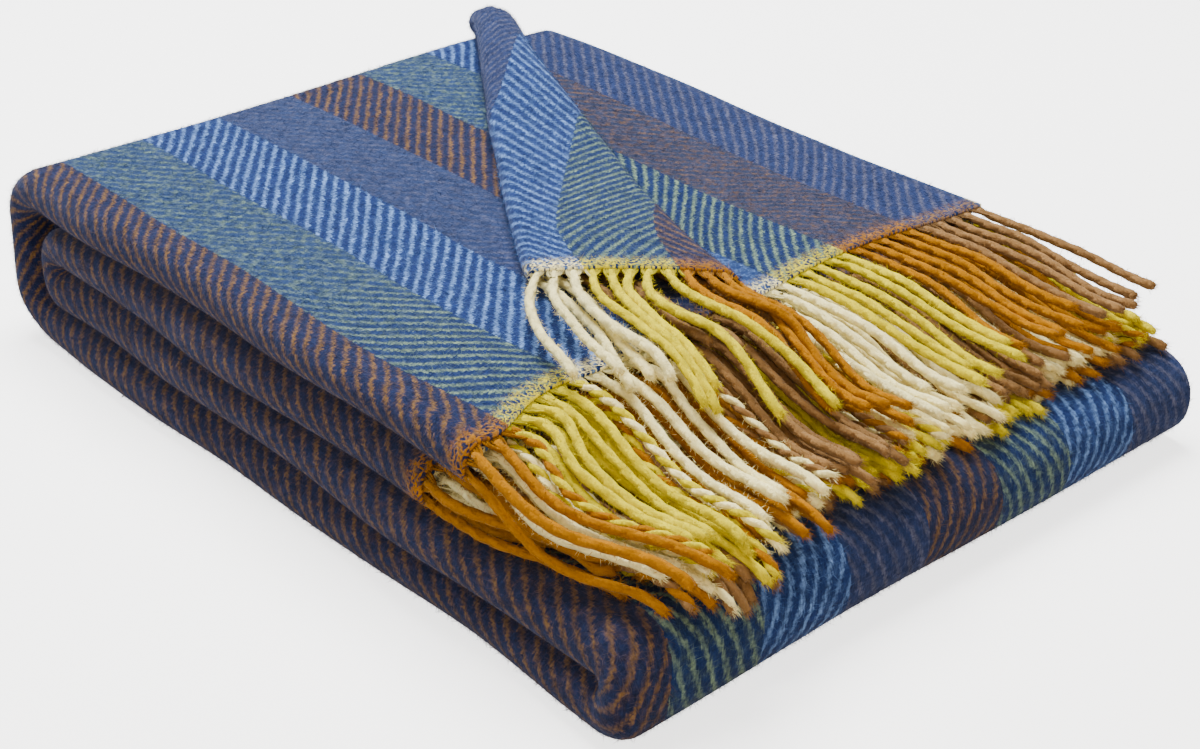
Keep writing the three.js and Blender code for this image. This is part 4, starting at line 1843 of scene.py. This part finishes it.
@dataclass
class StrandPile:
    """How the strands of both fringes lie on each other without sinking in."""

    apart: float = 4.0
    rounds: int = 30
    held: float = 6.0
    freed: float = 30.0
    share: float = 0.35
    over: float = 0.8
    softened: int = 2

    def push(self, lines: Array, height: Array) -> Array:
        """How far each point is moved off the strands that it lies in.

        Args:
            lines: Points, by strand and by step.
            height: Mean height of each strand, which says which one lies over the other.

        Returns:
            Moves, by strand and by step.
        """
        flat = lines.reshape(-1, 3)
        strand = np.repeat(np.arange(len(lines)), lines.shape[1])
        order = np.argsort(flat[:, 1], kind="stable")
        spot, strand = flat[order], strand[order]
        total = np.zeros_like(spot)
        for offset in range(1, len(spot)):
            near = spot[offset:, 1] - spot[:-offset, 1] < self.apart
            if not near.any():
                break
            k = np.flatnonzero(near & (strand[offset:] != strand[:-offset]))
            way = spot[k + offset] - spot[k]
            short = self.apart - np.linalg.norm(way, axis=1)
            k, way, short = k[short > 0.0], way[short > 0.0], short[short > 0.0]
            way[:, 2] += self.over * np.sign(height[strand[k + offset]] - height[strand[k]])
            move = unit(way) * (short * self.share / 2.0)[:, None]
            total[k + offset] += move
            total[k] -= move
        moves = np.empty_like(total)
        moves[order] = total
        return moves.reshape(lines.shape)

    def settle(self, fringes: Sequence[Fringe], cloth: ThrowCloth) -> None:
        """Lays the strands of all fringes out, then moves those that meet apart.

        Args:
            fringes: The fringes that lie in one pile.
            cloth: The cloth that they grow from.
        """
        lines = np.concatenate([fringe.routes(cloth) for fringe in fringes])
        reach = np.concatenate([fringe.run_length for fringe in fringes])
        free = smooth(self.held, self.freed, reach)[..., None]
        height = lines[..., 2].mean(axis=1)
        for _ in range(self.rounds):
            moves = self.push(lines, height)
            for _ in range(self.softened):
                wide = np.pad(moves, ((0, 0), (1, 1), (0, 0)), mode="edge")
                moves = (wide[:, :-2] + 2.0 * moves + wide[:, 2:]) / 4.0
            lines = lines + free * moves
            lowest = fringes[0].level_z(cloth.stack, 0.0, lines[..., 0], lines[..., 1])
            lines[..., 2] = np.maximum(lines[..., 2], lowest)
        for fringe, route in zip(fringes, np.split(lines, len(fringes))):
            fringe.route = route


@dataclass(frozen=True)
class SoftLight:
    """A square soft light: its place and side in metres, its watts and its colour."""

    name: str
    place: Point
    size: float
    power: float
    tint: Point


@dataclass
class Studio:
    """Pale floor, soft lights and the camera."""

    floor_size: float = 8.0
    floor_z: float = -0.0002
    floor_seen: Colour = srgb(246, 246, 246)
    floor_bounce: Colour = srgb(190, 190, 190)
    floor_glow: float = 2.6
    floor_roughness: float = 0.9
    floor_gloss: float = 0.1
    air: float = 0.30
    lights: tuple[SoftLight, ...] = (
        SoftLight("key", (-0.55, 0.28, 1.75), 1.2, 95.0, (1.0, 1.0, 1.0)),
        SoftLight("fill", (1.30, -0.75, 0.50), 1.2, 13.0, (1.0, 0.74, 0.46)),
        SoftLight("side", (-1.00, -1.00, 0.60), 0.8, 8.0, (0.94, 0.96, 1.0)),
    )
    aim: Point = (0.0, 0.0, 0.04)
    eye: Point = (0.61867, -0.51299, 0.42100)
    right: Point = (0.65704, 0.75379, -0.01013)
    up: Point = (-0.34115, 0.30929, 0.88767)
    behind: Point = (0.67225, -0.57978, 0.46037)
    lens: float = 57.58
    film: float = 36.0
    nearest: float = 0.02

    def build(self) -> None:
        """Makes the floor, the lights, the air and the camera."""
        self.floor()
        for light in self.lights:
            self.lamp(light)
        self.surroundings()
        self.camera()

    def floor(self) -> None:
        """A floor that looks nearly white and sends less light back to the throw."""
        bpy.ops.object.select_all(action="DESELECT")
        bpy.ops.mesh.primitive_plane_add(size=self.floor_size, location=(0.0, 0.0, self.floor_z))
        floor = bpy.context.active_object
        floor.name = "studio_floor"
        bpy.ops.object.transform_apply(location=True, rotation=True, scale=True)
        paint = bpy.data.materials.new("studio_floor")
        paint.use_nodes = True
        shader = paint.node_tree.nodes["Principled BSDF"]
        sketch = NodeSketch(paint.node_tree)
        seen = sketch.add("ShaderNodeLightPath").outputs["Is Camera Ray"]
        paleness = sketch.mix(seen, self.floor_bounce, self.floor_seen)
        sketch.feed(shader.inputs["Base Color"], paleness)
        sketch.feed(shader.inputs["Emission Color"], sketch.mix(seen, (0.0,) * 4, self.floor_seen))
        shader.inputs["Emission Strength"].default_value = self.floor_glow
        shader.inputs["Roughness"].default_value = self.floor_roughness
        shader.inputs["Specular IOR Level"].default_value = self.floor_gloss
        floor.data.materials.append(paint)

    def lamp(self, light: SoftLight) -> None:
        """Places a soft light so that it faces the throw.

        Args:
            light: The light to place.
        """
        data = bpy.data.lights.new(light.name, "AREA")
        data.color = light.tint
        data.size = light.size
        data.energy = light.power
        lamp = bpy.data.objects.new(light.name, data)
        lamp.location = light.place
        way = Vector(self.aim) - Vector(light.place)
        lamp.rotation_euler = way.to_track_quat("-Z", "Y").to_euler()
        bpy.context.scene.collection.objects.link(lamp)

    def surroundings(self) -> None:
        """Even white light from all round."""
        world = bpy.data.worlds.new("studio_air")
        world.use_nodes = True
        air = world.node_tree.nodes["Background"]
        air.inputs["Color"].default_value = (1.0, 1.0, 1.0, 1.0)
        air.inputs["Strength"].default_value = self.air
        bpy.context.scene.world = world

    def camera(self) -> None:
        """The camera where the photograph was taken from."""
        data = bpy.data.cameras.new("photo_camera")
        data.lens = self.lens
        data.sensor_width = self.film
        data.clip_start = self.nearest
        camera = bpy.data.objects.new("photo_camera", data)
        bpy.context.scene.collection.objects.link(camera)
        axes = Matrix((self.right, self.up, self.behind)).transposed()
        camera.matrix_world = Matrix.Translation(self.eye) @ axes.to_4x4()
        bpy.context.scene.camera = camera


UPPER_LEVELS = {
    Layer.TUCK: 4.8,
    Layer.FLAP: 5.6,
    Layer.FACE: 3.9,
    Layer.UPPER: 2.8,
    Layer.INNER: 2.8,
    Layer.LOWER: 1.9,
    Layer.HINGE: 1.6,
    Layer.BASE: 1.3,
}
LOWER_LEVELS = {
    Layer.TUCK: 0.0,
    Layer.FLAP: 0.0,
    Layer.FACE: 0.0,
    Layer.UPPER: 0.4,
    Layer.INNER: 0.4,
    Layer.LOWER: 0.7,
    Layer.HINGE: 0.9,
    Layer.BASE: 1.1,
}


def main() -> None:
    """Builds the studio and the throw."""
    logging.basicConfig(level=logging.INFO, format="%(name)s: %(message)s")
    Studio().build()
    cloth = ThrowCloth(FoldedStack(), CornerFlap())
    wool = WoolMaterials(end_u=float(cloth.stack.starts[-1]) / STRIPE_WIDTH)
    wool.build()
    sheet = cloth.build(wool.made["cloth"])
    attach(sheet, "root")
    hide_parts("throw_cloth")
    LOG.info("%s: %d faces", sheet.name, len(sheet.data.polygons))
    nap = LooseNap().build(cloth, wool.made["nap"])
    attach(nap, "root")
    LOG.info("%s: %d faces", nap.name, len(nap.data.polygons))
    extras = [nap]
    fringes = (
        Fringe("fringe_upper_yarn", "fringe_upper", True, UPPER_LEVELS, 21),
        Fringe("fringe_lower_yarn", "fringe_lower", False, LOWER_LEVELS, 37),
    )
    StrandPile().settle(fringes, cloth)
    for fringe in fringes:
        yarn = fringe.build(cloth, wool.made["yarn"])
        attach(yarn, "root")
        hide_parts(fringe.node)
        fuzz = fringe.fuzz(fringe.node + "_fuzz", wool.made["fuzz"])
        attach(fuzz, "root")
        extras += [yarn, fuzz]
        for piece in (yarn, fuzz):
            LOG.info("%s: %d faces", piece.name, len(piece.data.polygons))


if __name__ == "__main__":
    main()
